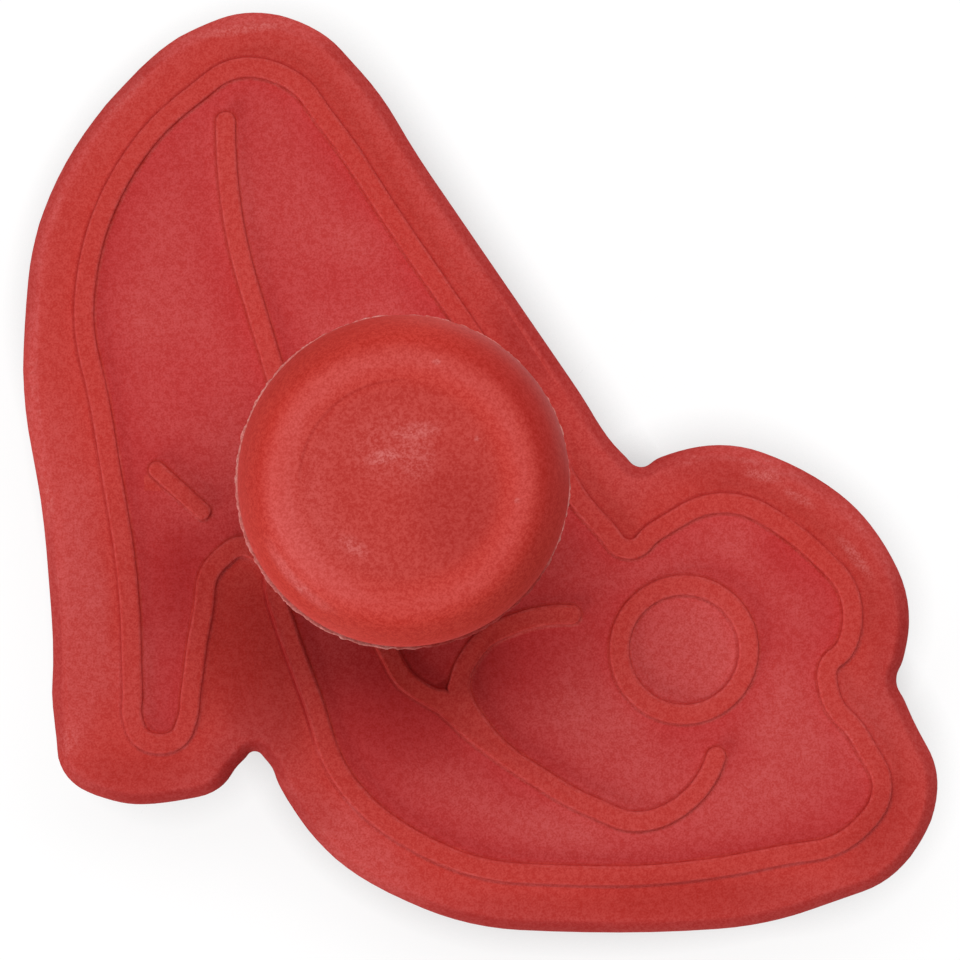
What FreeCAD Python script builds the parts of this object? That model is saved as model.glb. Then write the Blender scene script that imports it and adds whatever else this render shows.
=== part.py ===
import FreeCAD, Part
import math
import os

import Sketcher
from FreeCAD import Placement, Rotation, Vector

# Plunger cutter, millimetres. +Z is up, the cutting edge stands on z = 0, and the flange outline is
# centred on the origin. +X runs from the heel of the shoe motif to its toe.

# Driving dimensions: alias, value, what it measures
DIMENSIONS = (
    ("plate_length", 75.0, "flange, heel side to toe side"),
    ("plate_width", 75.5, "flange, top of the motif to its sole"),
    ("plate_thickness", 2.6, "flange thickness"),
    ("plate_edge_radius", 1.1, "rounding of the flange's upper edge"),
    ("plate_foot_radius", 0.5, "rounding of the flange's lower edge"),
    ("rib_width", 1.62, "raised motif line, width"),
    ("rib_height", 0.5, "raised motif line, height"),
    ("heel_rib_width", 1.35, "short motif line in the heel, width"),
    ("motif_ring_radius", 5.3, "motif ring, to the middle of its line"),
    ("blade_depth", 12.0, "cutting wall below the flange"),
    ("blade_thickness", 1.4, "cutting wall"),
    ("edge_land", 0.6, "flat left at the cutting edge"),
    ("bevel_height", 3.0, "outer bevel above the cutting edge"),
    ("ejector_clearance", 0.35, "ejector to cutting wall"),
    ("ejector_thickness", 2.2, "ejector plate"),
    ("rest_gap", 0.1, "ejector to flange at rest"),
    ("emboss_height", 1.4, "embossing ridge"),
    ("emboss_width", 1.0, "embossing ridge"),
    ("table_gap", 0.3, "embossing ridge to table at full press"),
    ("stem_radius", 3.5, "plunger stem"),
    ("stem_clearance", 0.06, "stem to guide bore, on the radius"),
    ("collar_wall", 1.6, "guide collar round the bore"),
    ("collar_height", 2.5, "guide collar above the flange"),
    ("seat_margin", 0.9, "spring seat beyond the spring"),
    ("seat_rise", 0.3, "spring seat above the motif lines"),
    ("wire_diameter", 0.8, "spring wire"),
    ("spring_inner_clearance", 0.4, "spring to guide collar"),
    ("spring_outer_clearance", 0.5, "spring to knob pocket"),
    ("spring_end_clearance", 0.12, "spring wire to either seat"),
    ("coil_gap", 0.55, "air between the closed end turns"),
    ("knob_radius", 13.0, "knob at its widest circle"),
    ("knob_base_height", 7.6, "knob rim to the joint of its halves"),
    ("knob_cap_height", 5.9, "joint of the halves to the crest"),
    ("knob_gap", 1.0, "knob rim to motif lines at full press"),
    ("knob_floor", 1.6, "floor between spring pocket and knob cavity"),
    ("knob_wall", 2.4, "knob wall at the joint of its halves"),
    ("knob_roof", 2.0, "knob roof under the thumb disc"),
    ("rim_wall", 1.8, "knob wall round the spring pocket"),
    ("flash_width", 0.22, "moulding flash at the joint"),
    ("flash_height", 0.3, "moulding flash at the joint"),
    ("spigot_height", 1.5, "locating ring between the halves"),
    ("spigot_wall", 1.2, "locating ring between the halves"),
    ("spigot_clearance", 0.05, "locating ring to cap"),
    ("spigot_gap", 0.2, "locating ring to the cap's shoulder"),
    ("socket_wall", 1.4, "boss round the stem socket"),
    ("socket_depth", 2.6, "stem inside its socket"),
    ("socket_clearance", 0.05, "stem to socket, on the radius"),
    ("press_clearance", 0.3, "socket boss to guide collar at full press"),
    ("core_radius", 3.0, "screw core inside the knob"),
    ("core_roof", 0.6, "core above the screw's pilot hole"),
    ("core_clearance", 0.5, "core to knob roof"),
    ("screw_length", 16.0, "screw below its head"),
    ("screw_thread_radius", 1.1, "screw thread crests"),
    ("screw_root_radius", 0.85, "screw thread roots"),
    ("screw_pitch", 0.8, "screw thread"),
    ("screw_tip_length", 1.6, "screw point"),
    ("screw_head_radius", 2.0, "screw head"),
    ("screw_head_height", 1.6, "screw head"),
    ("recess_width", 0.6, "cross recess, across one slot"),
    ("recess_span", 2.2, "cross recess, end to end"),
    ("recess_depth", 0.9, "cross recess"),
    ("screw_clearance", 0.2, "screw to the hole in the stem"),
    ("pilot_clearance", 0.02, "screw thread to pilot hole"),
    ("tip_clearance", 0.5, "screw point to the end of its pilot hole"),
    ("head_clearance", 0.3, "screw head to counterbore"),
    ("plug_thickness", 1.2, "plug in the counterbore"),
    ("plug_clearance", 0.03, "plug to counterbore"),
    ("plug_chamfer", 0.2, "plug lead-in"),
    ("match_tolerance", 0.01, "edges this close to a level lie on it"),
)

# Turns of the return spring, in half turns, and those of them that lie closed at each end
COIL_HALF_TURNS = 12
CLOSED_HALF_TURNS = 2
# Stations per half turn at which the spring's gap to itself is measured
GAP_STATIONS = 24
# A span that bows less than this share of its chord is drawn straight
STRAIGHT_SHARE = 1e-4

# Plunger axis, as shares of the flange from its centre
PLUNGER_SHARE = (-0.0815, -0.0102)

# Flange outline, clockwise from the top, as shares of its length and width from its centre
PLATE_OUTLINE_SHARES = (
    (-0.249, 0.500), (-0.176, 0.479), (-0.131, 0.436), (-0.055, 0.324), (0.087, 0.118),
    (0.153, 0.021), (0.174, 0.006), (0.198, 0.017), (0.261, 0.030), (0.352, 0.003),
    (0.427, -0.057), (0.469, -0.162), (0.463, -0.201), (0.455, -0.226), (0.466, -0.252),
    (0.500, -0.344), (0.463, -0.426), (0.365, -0.474), (0.152, -0.500), (-0.062, -0.474),
    (-0.170, -0.409), (-0.218, -0.344), (-0.233, -0.314), (-0.247, -0.303), (-0.261, -0.314),
    (-0.286, -0.343), (-0.333, -0.357), (-0.402, -0.356), (-0.449, -0.329), (-0.466, -0.268),
    (-0.468, -0.181), (-0.475, -0.084), (-0.500, 0.133), (-0.478, 0.284), (-0.397, 0.414),
    (-0.319, 0.479),
)

# Middle line of the motif's outer line and of the cutting wall under it, clockwise from the top
SHOE_OUTLINE_SHARES = (
    (-0.251, 0.439), (-0.200, 0.421), (-0.168, 0.382), (-0.088, 0.264), (0.065, 0.041),
    (0.130, -0.055), (0.164, -0.083), (0.192, -0.063), (0.261, -0.033), (0.348, -0.071),
    (0.406, -0.154), (0.399, -0.188), (0.379, -0.212), (0.381, -0.240), (0.416, -0.290),
    (0.438, -0.344), (0.4095, -0.3935), (0.305, -0.420), (0.130, -0.437), (-0.039, -0.415),
    (-0.142, -0.342), (-0.191, -0.225), (-0.220, -0.144), (-0.238, -0.090), (-0.260, -0.080),
    (-0.285, -0.095), (-0.305, -0.165), (-0.3155, -0.236), (-0.3198, -0.2682), (-0.3285, -0.2866),
    (-0.3494, -0.2942), (-0.3703, -0.2866), (-0.3789, -0.2682), (-0.3795, -0.236), (-0.383, -0.138),
    (-0.411, 0.051), (-0.432, 0.187), (-0.4012, 0.3035), (-0.3272, 0.3975),
)

# Middle lines of the motif's open lines, from end to end
FOOTBED_SHARES = (
    (-0.278, 0.380), (-0.274, 0.306), (-0.225, 0.111), (-0.164, -0.062), (-0.088, -0.206),
    (-0.046, -0.249), (0.054, -0.324), (0.119, -0.361), (0.174, -0.378), (0.228, -0.354),
    (0.257, -0.308),
)
STRAP_SHARES = (
    (0.0463, -0.3191), (0.0293, -0.3073), (0.003, -0.2808), (-0.016, -0.2515), (-0.021, -0.227),
    (-0.004, -0.189), (0.049, -0.160), (0.099, -0.154),
)
HEEL_LINE_SHARES = ((-0.353, 0.003), (-0.303, -0.042))
MOTIF_RING_SHARE = (0.222, -0.192)
# Radius of the heel's tip on the shoe's outline, as a share of the flange's length
HEEL_TIP_SHARE = 0.0195
# Rounding of the ejector's pressing edge, as a share of the ejector's radius at the heel's tip
EJECTOR_EDGE_SHARE = 0.7

# Knob outside below the joint, as shares from the pocket rim out to the widest circle and up to the joint
KNOB_FLARE_SHARES = ((1.0, 1.0), (0.89, 0.76), (0.55, 0.54), (0.17, 0.37), (0.0, 0.13), (-0.12, 0.0))
# Knob outside above the joint, as shares of its radius and of the cap's height
KNOB_DOME_SHARES = (
    (1.0, 0.0), (0.98, 0.32), (0.935, 0.62), (0.875, 0.83), (0.83, 0.92), (0.77, 0.98), (0.70, 1.0),
    (0.645, 0.988), (0.605, 0.962), (0.565, 0.942), (0.50, 0.933), (0.30, 0.936), (0.0, 0.94),
)
# Flat roof of the hollow under the cap, as a share of the hollow's radius
CAVITY_ROOF_SHARE = 0.5
# Screw head: flat top and upright side, as shares of its radius and height
HEAD_FLAT_SHARE = 0.55
HEAD_SIDE_SHARE = 0.45

doc = FreeCAD.newDocument("plunger_cutter")
sheet = doc.addObject("Spreadsheet::Sheet", "sizes")
for row, (alias, value, meaning) in enumerate(DIMENSIONS, start=1):
    sheet.set(f"A{row}", meaning)
    sheet.set(f"B{row}", str(value))
    sheet.setAlias(f"B{row}", alias)
doc.recompute()

# Places that several pieces share, worked out from the sheet
PLUNGER_X = f"sizes.plate_length * {PLUNGER_SHARE[0]}"
PLUNGER_Y = f"sizes.plate_width * {PLUNGER_SHARE[1]}"
PLATE_TOP = "(sizes.blade_depth + sizes.plate_thickness)"
RIB_TOP = f"({PLATE_TOP} + sizes.rib_height)"
SEAT_TOP = f"({RIB_TOP} + sizes.seat_rise)"
COLLAR_TOP = f"({PLATE_TOP} + sizes.collar_height)"
EJECTOR_TOP = "(sizes.blade_depth - sizes.rest_gap)"
EJECTOR_BOTTOM = f"({EJECTOR_TOP} - sizes.ejector_thickness)"
TRAVEL = f"({EJECTOR_BOTTOM} - sizes.emboss_height - sizes.table_gap)"
KNOB_BOTTOM = f"({RIB_TOP} + sizes.knob_gap + {TRAVEL})"
JOINT_LEVEL = f"({KNOB_BOTTOM} + sizes.knob_base_height)"
DISC_LEVEL = f"({JOINT_LEVEL} + sizes.knob_cap_height * {KNOB_DOME_SHARES[-1][1]})"
ROOF_LEVEL = f"({DISC_LEVEL} - sizes.knob_roof)"
POCKET_TOP = f"({JOINT_LEVEL} - sizes.knob_floor)"
SOCKET_MOUTH = f"({COLLAR_TOP} + {TRAVEL} + sizes.press_clearance)"
STEM_TOP = f"({SOCKET_MOUTH} + sizes.socket_depth)"
CORE_TOP = f"({ROOF_LEVEL} - sizes.core_clearance)"
PILOT_TOP = f"({CORE_TOP} - sizes.core_roof)"
SCREW_TIP = f"({PILOT_TOP} - sizes.tip_clearance)"
SCREW_SEAT = f"({SCREW_TIP} - sizes.screw_length)"
BORE_RADIUS = "(sizes.stem_radius + sizes.stem_clearance)"
COLLAR_RADIUS = f"({BORE_RADIUS} + sizes.collar_wall)"
COIL_RADIUS = f"({COLLAR_RADIUS} + sizes.spring_inner_clearance + sizes.wire_diameter / 2)"
SEAT_RADIUS = f"({COIL_RADIUS} + sizes.wire_diameter / 2 + sizes.seat_margin)"
POCKET_RADIUS = f"({COIL_RADIUS} + sizes.wire_diameter / 2 + sizes.spring_outer_clearance)"
RIM_RADIUS = f"({POCKET_RADIUS} + sizes.rim_wall)"
SOCKET_RADIUS = "(sizes.stem_radius + sizes.socket_clearance)"
SHANK_HOLE_RADIUS = "(sizes.screw_thread_radius + sizes.screw_clearance)"
COUNTERBORE_RADIUS = "(sizes.screw_head_radius + sizes.head_clearance)"
CAVITY_RADIUS = "(sizes.knob_radius - sizes.knob_wall)"
EJECTOR_INSET = "(sizes.blade_thickness / 2 + sizes.ejector_clearance)"
EJECTOR_EDGE = f"(sizes.plate_length * {HEEL_TIP_SHARE} - {EJECTOR_INSET}) * {EJECTOR_EDGE_SHARE}"


def size(expression):
    """Value in millimetres of a formula over the sheet's cells, or of one cell's name."""
    formula = expression if "sizes." in expression else f"sizes.{expression}"
    return float(doc.getObject("sizes").evalExpression(formula))


# Outlines as chains of lines and arcs that meet without a corner


class Span:
    """A line or an arc that leaves its start along a direction and reaches its end."""

    def __init__(self, start, direction, end):
        along = (end - start).normalize()
        toward = (direction + along).normalize()
        self.start = start
        self.middle = start + toward * ((end - start).Length / 2 / toward.dot(along))
        self.end = end
        self.directions = (direction, along, along * (2 * along.dot(direction)) - direction)

    def shifted(self, distance):
        """The three points of the span moved to its left, which keeps an arc concentric."""
        points = (self.start, self.middle, self.end)
        return [p + Vector(-d.y, d.x, 0) * distance for p, d in zip(points, self.directions)]


def chain(points, closed=False, first=None, last=None):
    """Spans through the points, two to a gap, each point's direction that of its neighbours' circle.

    first and last, where given, are the directions at the two ends of an open chain.
    """
    count = len(points)
    directions = []
    for index in range(count):
        before = points[index] - points[index - 1]
        after = points[(index + 1) % count] - points[index]
        direction = before / before.Length ** 2 + after / after.Length ** 2
        directions.append(direction.normalize())
    if not closed:
        directions[0] = first or Span(points[1], directions[1] * -1, points[0]).directions[2] * -1
        directions[-1] = last or Span(points[-2], directions[-2], points[-1]).directions[2]
    spans = []
    for index in range(count if closed else count - 1):
        onward = (index + 1) % count
        spans += biarc(points[index], directions[index], points[onward], directions[onward])
    return spans


def straight(start, end):
    """A span that is a line."""
    return Span(start, (end - start).normalize(), end)


def biarc(start, leaving, end, arriving):
    """Two spans from start to end, with the directions given there and one direction where they meet."""
    reach = end - start
    lean = reach.dot(leaving + arriving)
    bend = 2 * (1 - leaving.dot(arriving))
    if bend < STRAIGHT_SHARE ** 2:
        arm = reach.dot(reach) / (2 * lean)
    else:
        arm = ((lean ** 2 + bend * reach.dot(reach)) ** 0.5 - lean) / bend
    meeting = (start + end + (leaving - arriving) * arm) / 2
    opening = Span(start, leaving, meeting)
    return opening, Span(meeting, opening.directions[2], end)


def curve(start, middle, end):
    """The arc through three points, or the line where it hardly bows."""
    if (middle - (start + end) / 2).Length < STRAIGHT_SHARE * (end - start).Length:
        return Part.LineSegment(start, end)
    return Part.Arc(start, middle, end)


def loop(spans, distance=0.0):
    """Curves of a closed chain, shifted to its left."""
    return [curve(*span.shifted(distance)) for span in spans]


def strip(spans, width):
    """Curves round an open chain: both its sides and two round ends."""
    half = width / 2
    left = loop(spans, half)
    right = [curve(*reversed(span.shifted(-half))) for span in reversed(spans)]
    tip, tail = spans[-1], spans[0]
    tip_points = tip.shifted(half)[2], tip.end + tip.directions[2] * half, tip.shifted(-half)[2]
    tail_points = tail.shifted(-half)[0], tail.start - tail.directions[0] * half, tail.shifted(half)[0]
    return left + [curve(*tip_points)] + right + [curve(*tail_points)]


def polyline(points):
    """Line segments from each point to the next."""
    return [Part.LineSegment(start, end) for start, end in zip(points, points[1:])]


def on_plate(shares):
    """Points of the flange from their shares."""
    return [Vector(x * size("plate_length"), y * size("plate_width"), 0) for x, y in shares]


# Features of the bodies


def new_body(label, on_axis=False):
    """An empty body, standing on the plunger axis where asked."""
    body = doc.addObject("PartDesign::Body", label)
    if on_axis:
        body.setExpression("Placement.Base.x", PLUNGER_X)
        body.setExpression("Placement.Base.y", PLUNGER_Y)
    return body


def new_sketch(body, name, curves, height=None, role="XY_Plane"):
    """A sketch of the curves on one of the body's own planes, raised by a formula."""
    sketch = body.newObject("Sketcher::SketchObject", name)
    plane = next(feature for feature in body.Origin.OriginFeatures if feature.Role == role)
    sketch.AttachmentSupport = (plane, [""])
    sketch.MapMode = "FlatFace"
    if height:
        sketch.setExpression("AttachmentOffset.Base.z", height)
    sketch.addGeometry(curves, False)
    return sketch


def circle_sketch(body, name, height, radius):
    """A sketch of one circle round the plunger axis, its size and place bound to the sheet."""
    start = Part.Circle(Vector(size(PLUNGER_X), size(PLUNGER_Y), 0), Vector(0, 0, 1), size(radius))
    sketch = new_sketch(body, name, [start], height)
    bindings = (
        (Sketcher.Constraint("Radius", 0, size(radius)), radius),
        (Sketcher.Constraint("DistanceX", 0, 3, size(PLUNGER_X)), PLUNGER_X),
        (Sketcher.Constraint("DistanceY", 0, 3, size(PLUNGER_Y)), PLUNGER_Y),
    )
    for constraint, formula in bindings:
        sketch.setExpression(f"Constraints[{sketch.addConstraint(constraint)}]", formula)
    return sketch


def extrude(body, name, sketch, length, downward=False, cut=False):
    """A pad of the sketch, or a pocket, up or down by a formula; the volume has to follow."""
    before = body.Shape.Volume if body.Tip else 0
    feature = body.newObject("PartDesign::Pocket" if cut else "PartDesign::Pad", name)
    feature.Profile = sketch
    feature.setExpression("Length", length)
    feature.Reversed = downward != cut
    doc.recompute()
    grown = body.Shape.Volume - before
    if (grown < 0) != cut:
        raise RuntimeError(f"{name} changed the volume by {grown}")
    return feature


def turn(body, name, curves):
    """A revolution of an upright profile round the body's own axis."""
    sketch = new_sketch(body, f"{name}_sketch", curves, role="XZ_Plane")
    feature = body.newObject("PartDesign::Revolution", name)
    feature.Profile = sketch
    feature.ReferenceAxis = (sketch, ["V_Axis"])
    doc.recompute()
    return feature


def edges_at(body, level, near=None):
    """Names of the body's edges that lie flat at a level, along a wire where one is given."""
    tolerance = size("match_tolerance")
    names = []
    for number, edge in enumerate(body.Shape.Edges, start=1):
        box = edge.BoundBox
        flat = abs(box.ZMin - level) < tolerance and abs(box.ZMax - level) < tolerance
        if flat and near:
            middle = edge.valueAt((edge.FirstParameter + edge.LastParameter) / 2)
            flat = near.distToShape(Part.Vertex(middle))[0] < tolerance
        if flat:
            names.append(f"Edge{number}")
    return names


def dressing(body, kind, name, edges, **formulas):
    """A fillet or a chamfer along named edges of the body's last feature."""
    base = body.Tip
    feature = body.newObject(f"PartDesign::{kind}", name)
    feature.Base = (base, edges)
    if kind == "Chamfer":
        feature.ChamferType = "Two distances"
    for setting, formula in formulas.items():
        feature.setExpression(setting, formula)
    doc.recompute()
    return feature


# Motif lines shared by the flange's ribs and the ejector's embossing ridges

shoe_outline = chain(on_plate(SHOE_OUTLINE_SHARES), closed=True)


def shoe_band(width):
    """Curves on both sides of the shoe's outline."""
    return loop(shoe_outline, width / 2) + loop(shoe_outline, -width / 2)


def motif_lines(width, heel_width):
    """Curves of the footbed, heel line and ring, which stay clear of one another."""
    footbed = strip(chain(on_plate(FOOTBED_SHARES)), width)
    heel = strip([straight(*on_plate(HEEL_LINE_SHARES))], heel_width)
    centre = on_plate([MOTIF_RING_SHARE])[0]
    radius = size("motif_ring_radius")
    ring = [Part.Circle(centre, Vector(0, 0, 1), radius + side * width / 2) for side in (1, -1)]
    return footbed + heel + ring


def strap_line(width):
    """Curves of the strap, which runs into the footbed."""
    return strip(chain(on_plate(STRAP_SHARES)), width)


# The pieces


def make_cutter_body():
    """Flange with its raised motif, spring seat and guide collar above, cutting wall below."""
    body = new_body("cutter_body")
    outline = loop(chain(on_plate(PLATE_OUTLINE_SHARES), closed=True))
    plate = new_sketch(body, "plate_outline", outline, "sizes.blade_depth")
    extrude(body, "plate", plate, "sizes.plate_thickness")
    upper = edges_at(body, size(PLATE_TOP))
    dressing(body, "Fillet", "plate_edge", upper, Radius="sizes.plate_edge_radius")
    lower = edges_at(body, size("blade_depth"))
    dressing(body, "Fillet", "plate_foot", lower, Radius="sizes.plate_foot_radius")

    seat = circle_sketch(body, "spring_seat_circle", PLATE_TOP, SEAT_RADIUS)
    extrude(body, "spring_seat", seat, f"{SEAT_TOP} - {PLATE_TOP}")
    collar = circle_sketch(body, "collar_circle", PLATE_TOP, COLLAR_RADIUS)
    extrude(body, "guide_collar", collar, "sizes.collar_height")
    bore = circle_sketch(body, "bore_circle", COLLAR_TOP, BORE_RADIUS)
    extrude(body, "guide_bore", bore, f"{COLLAR_TOP} - sizes.blade_depth", downward=True, cut=True)

    blade = new_sketch(body, "blade_outline", shoe_band(size("blade_thickness")), "sizes.blade_depth")
    extrude(body, "blade", blade, "sizes.blade_depth", downward=True)
    outside = Part.Wire([item.toShape() for item in loop(shoe_outline, size("blade_thickness") / 2)])
    dressing(
        body, "Chamfer", "blade_bevel", edges_at(body, 0, outside),
        Size="sizes.bevel_height", Size2="sizes.blade_thickness - sizes.edge_land",
    )

    lines = shoe_band(size("rib_width")) + motif_lines(size("rib_width"), size("heel_rib_width"))
    extrude(body, "motif_ribs", new_sketch(body, "motif_rib_lines", lines, PLATE_TOP), "sizes.rib_height")
    strap = new_sketch(body, "strap_rib_line", strap_line(size("rib_width")), PLATE_TOP)
    extrude(body, "strap_rib", strap, "sizes.rib_height")
    return body


def make_ejector_plate():
    """Shoe-shaped plate that slides inside the cutting wall, with embossing ridges and a hollow stem."""
    body = new_body("ejector_plate")
    inside = loop(shoe_outline, -size(EJECTOR_INSET))
    outline = new_sketch(body, "ejector_outline", inside, EJECTOR_BOTTOM)
    extrude(body, "ejector", outline, "sizes.ejector_thickness")
    lower = edges_at(body, size(EJECTOR_BOTTOM))
    dressing(body, "Fillet", "ejector_edge", lower, Radius=EJECTOR_EDGE)

    stem = circle_sketch(body, "stem_circle", EJECTOR_TOP, "sizes.stem_radius")
    extrude(body, "stem", stem, f"{STEM_TOP} - {EJECTOR_TOP}")
    shank = circle_sketch(body, "shank_hole_circle", EJECTOR_BOTTOM, SHANK_HOLE_RADIUS)
    extrude(body, "shank_hole", shank, f"{STEM_TOP} - {EJECTOR_BOTTOM}", cut=True)
    head = circle_sketch(body, "counterbore_circle", EJECTOR_BOTTOM, COUNTERBORE_RADIUS)
    extrude(body, "counterbore", head, f"{SCREW_SEAT} - {EJECTOR_BOTTOM}", cut=True)

    width = size("emboss_width")
    ridges = new_sketch(body, "emboss_lines", motif_lines(width, width), EJECTOR_BOTTOM)
    extrude(body, "emboss_ridges", ridges, "sizes.emboss_height", downward=True)
    strap = new_sketch(body, "emboss_strap_line", strap_line(width), EJECTOR_BOTTOM)
    extrude(body, "emboss_strap", strap, "sizes.emboss_height", downward=True)
    return body


def make_knob_base():
    """Lower half of the knob: spring pocket, stem socket, screw core and locating ring."""
    joint, bottom, ceiling = size(JOINT_LEVEL), size(KNOB_BOTTOM), size(POCKET_TOP)
    mouth, socket_top = size(SOCKET_MOUTH), size(STEM_TOP)
    pocket, rim, socket = size(POCKET_RADIUS), size(RIM_RADIUS), size(SOCKET_RADIUS)
    boss = socket + size("socket_wall")
    pilot = size("screw_thread_radius") + size("pilot_clearance")
    ring_outside = size(CAVITY_RADIUS) - size("spigot_clearance")
    ring_inside = ring_outside - size("spigot_wall")
    ring_top = joint + size("spigot_height")
    widest = size("knob_radius")
    flash = widest + size("flash_width")
    flash_foot = joint - size("flash_height")
    flare = [
        Vector(rim + across * (widest - rim), bottom + up * (flash_foot - bottom), 0)
        for across, up in KNOB_FLARE_SHARES
    ]
    upper = [
        Vector(0, size(PILOT_TOP), 0), Vector(0, size(CORE_TOP), 0),
        Vector(size("core_radius"), size(CORE_TOP), 0), Vector(size("core_radius"), joint, 0),
        Vector(ring_inside, joint, 0), Vector(ring_inside, ring_top, 0),
        Vector(ring_outside, ring_top, 0), Vector(ring_outside, joint, 0),
        Vector(flash, joint, 0), Vector(flash, flash_foot, 0), flare[0],
    ]
    lower = [
        flare[-1], Vector(pocket, bottom, 0), Vector(pocket, ceiling, 0),
        Vector(boss, ceiling, 0), Vector(boss, mouth, 0), Vector(socket, mouth, 0),
        Vector(socket, socket_top, 0), Vector(pilot, socket_top, 0),
        Vector(pilot, size(PILOT_TOP), 0), Vector(0, size(PILOT_TOP), 0),
    ]
    body = new_body("knob_base", on_axis=True)
    outside = loop(chain(flare, first=Vector(0, -1, 0)))
    turn(body, "knob_base_turning", polyline(upper) + outside + polyline(lower))
    return body


def make_knob_cap():
    """Upper half of the knob: rounded crest round a shallow thumb disc, over a hollow."""
    joint, roof, hollow = size(JOINT_LEVEL), size(ROOF_LEVEL), size(CAVITY_RADIUS)
    shoulder = joint + size("spigot_height") + size("spigot_gap")
    dome = [
        Vector(across * size("knob_radius"), joint + up * size("knob_cap_height"), 0)
        for across, up in KNOB_DOME_SHARES
    ]
    inside = [
        dome[-1], Vector(0, roof, 0), Vector(CAVITY_ROOF_SHARE * hollow, roof, 0),
        Vector(hollow, shoulder, 0), Vector(hollow, joint, 0), dome[0],
    ]
    body = new_body("knob_cap", on_axis=True)
    outside = loop(chain(dome, first=Vector(0, 1, 0), last=Vector(-1, 0, 0)))
    turn(body, "knob_cap_turning", outside + polyline(inside))
    return body


def make_retaining_screw():
    """Pan-head screw with a cross recess, up through the stem into the knob's core."""
    seat, tip, pitch = size(SCREW_SEAT), size(SCREW_TIP), size("screw_pitch")
    root, crest, head = size("screw_root_radius"), size("screw_thread_radius"), size("screw_head_radius")
    head_top = seat - size("screw_head_height")
    turns = int((size("screw_length") - size("screw_tip_length")) / pitch)
    outline = [
        Vector(0, tip, 0), Vector(0, head_top, 0), Vector(HEAD_FLAT_SHARE * head, head_top, 0),
        Vector(head, seat - HEAD_SIDE_SHARE * size("screw_head_height"), 0), Vector(head, seat, 0),
        Vector(root, seat, 0),
    ]
    for number in range(turns):
        outline.append(Vector(crest, seat + (number + 1 / 2) * pitch, 0))
        outline.append(Vector(root, seat + (number + 1) * pitch, 0))
    body = new_body("retaining_screw", on_axis=True)
    turn(body, "screw_turning", polyline(outline + outline[:1]))

    long, short = size("recess_span") / 2, size("recess_width") / 2
    corners = []
    for side_x, side_y in ((1, 1), (-1, 1), (-1, -1), (1, -1)):
        arms = [
            Vector(side_x * long, side_y * short, 0), Vector(side_x * short, side_y * short, 0),
            Vector(side_x * short, side_y * long, 0),
        ]
        corners += arms if side_x == side_y else reversed(arms)
    level = f"{SCREW_SEAT} - sizes.screw_head_height"
    recess = new_sketch(body, "cross_recess_outline", polyline(corners + corners[:1]), level)
    extrude(body, "cross_recess", recess, "sizes.recess_depth", cut=True)
    return body


def make_screw_plug():
    """Disc that closes the counterbore flush with the ejector's pressing face."""
    bottom, radius = size(EJECTOR_BOTTOM), size(COUNTERBORE_RADIUS) - size("plug_clearance")
    top, chamfer = bottom + size("plug_thickness"), size("plug_chamfer")
    outline = [
        Vector(0, bottom, 0), Vector(radius, bottom, 0), Vector(radius, top - chamfer, 0),
        Vector(radius - chamfer, top, 0), Vector(0, top, 0), Vector(0, bottom, 0),
    ]
    body = new_body("screw_plug", on_axis=True)
    turn(body, "plug_turning", polyline(outline))
    return body


def make_return_spring():
    """Compression spring between the flange's seat and the knob's pocket, its end turns drawn close."""
    wire, radius = size("wire_diameter"), size(COIL_RADIUS)
    margin = size("spring_end_clearance") + wire / 2
    low, high = size(SEAT_TOP) + margin, size(POCKET_TOP) - margin
    closed_rise = (wire + size("coil_gap")) / 2
    closed_steps = 2 * CLOSED_HALF_TURNS
    open_rise = (high - low - closed_steps * closed_rise) / (COIL_HALF_TURNS - closed_steps)
    rises = [closed_rise] * CLOSED_HALF_TURNS
    rises += [open_rise] * (COIL_HALF_TURNS - closed_steps) + [closed_rise] * CLOSED_HALF_TURNS
    points, directions = [], []
    height = low
    for number in range(COIL_HALF_TURNS + 1):
        side = 1 if number % 2 == 0 else -1
        near = rises[max(number - 1, 0):number + 1]
        points.append(Vector(side * radius, 0, height))
        directions.append(Vector(0, side * radius, sum(near) / len(near) / math.pi).normalize())
        height += rises[number] if number < COIL_HALF_TURNS else 0
    spans = []
    for number in range(COIL_HALF_TURNS):
        spans += biarc(points[number], directions[number], points[number + 1], directions[number + 1])
    path = [Part.LineSegment(points[0] - directions[0] * wire, points[0])]
    path += [Part.Arc(span.start, span.middle, span.end) for span in spans]
    path.append(Part.LineSegment(points[-1], points[-1] + directions[-1] * wire))
    route = Part.Wire([item.toShape() for item in path])
    section = Part.Wire([Part.Circle(path[0].StartPoint, directions[0], wire / 2).toShape()])
    shell = Part.BRepOffsetAPI.MakePipeShell(route)
    shell.add(section)
    shell.build()
    shell.makeSolid()
    spring = doc.addObject("Part::Feature", "return_spring")
    spring.Shape = shell.shape()
    spring.Placement = Placement(Vector(size(PLUNGER_X), size(PLUNGER_Y), 0), Rotation())
    doc.recompute()
    report_spring(spring, route, wire, radius)
    return spring


def report_spring(spring, route, wire, radius):
    """Prints the spring's least gap to itself and its volume beside section times length."""
    stations = route.discretize(GAP_STATIONS * COIL_HALF_TURNS)
    spacing = route.Length / len(stations)
    apart = int(math.pi * radius / spacing)
    gap = min(
        (here - there).Length
        for index, here in enumerate(stations) for there in stations[index + apart:]
    ) - wire
    tube = math.pi * wire ** 2 / 4 * route.Length
    print(f"return_spring gap to itself {gap:.2f} mm, volume {spring.Shape.Volume:.2f}, tube {tube:.2f} mm3")


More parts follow.
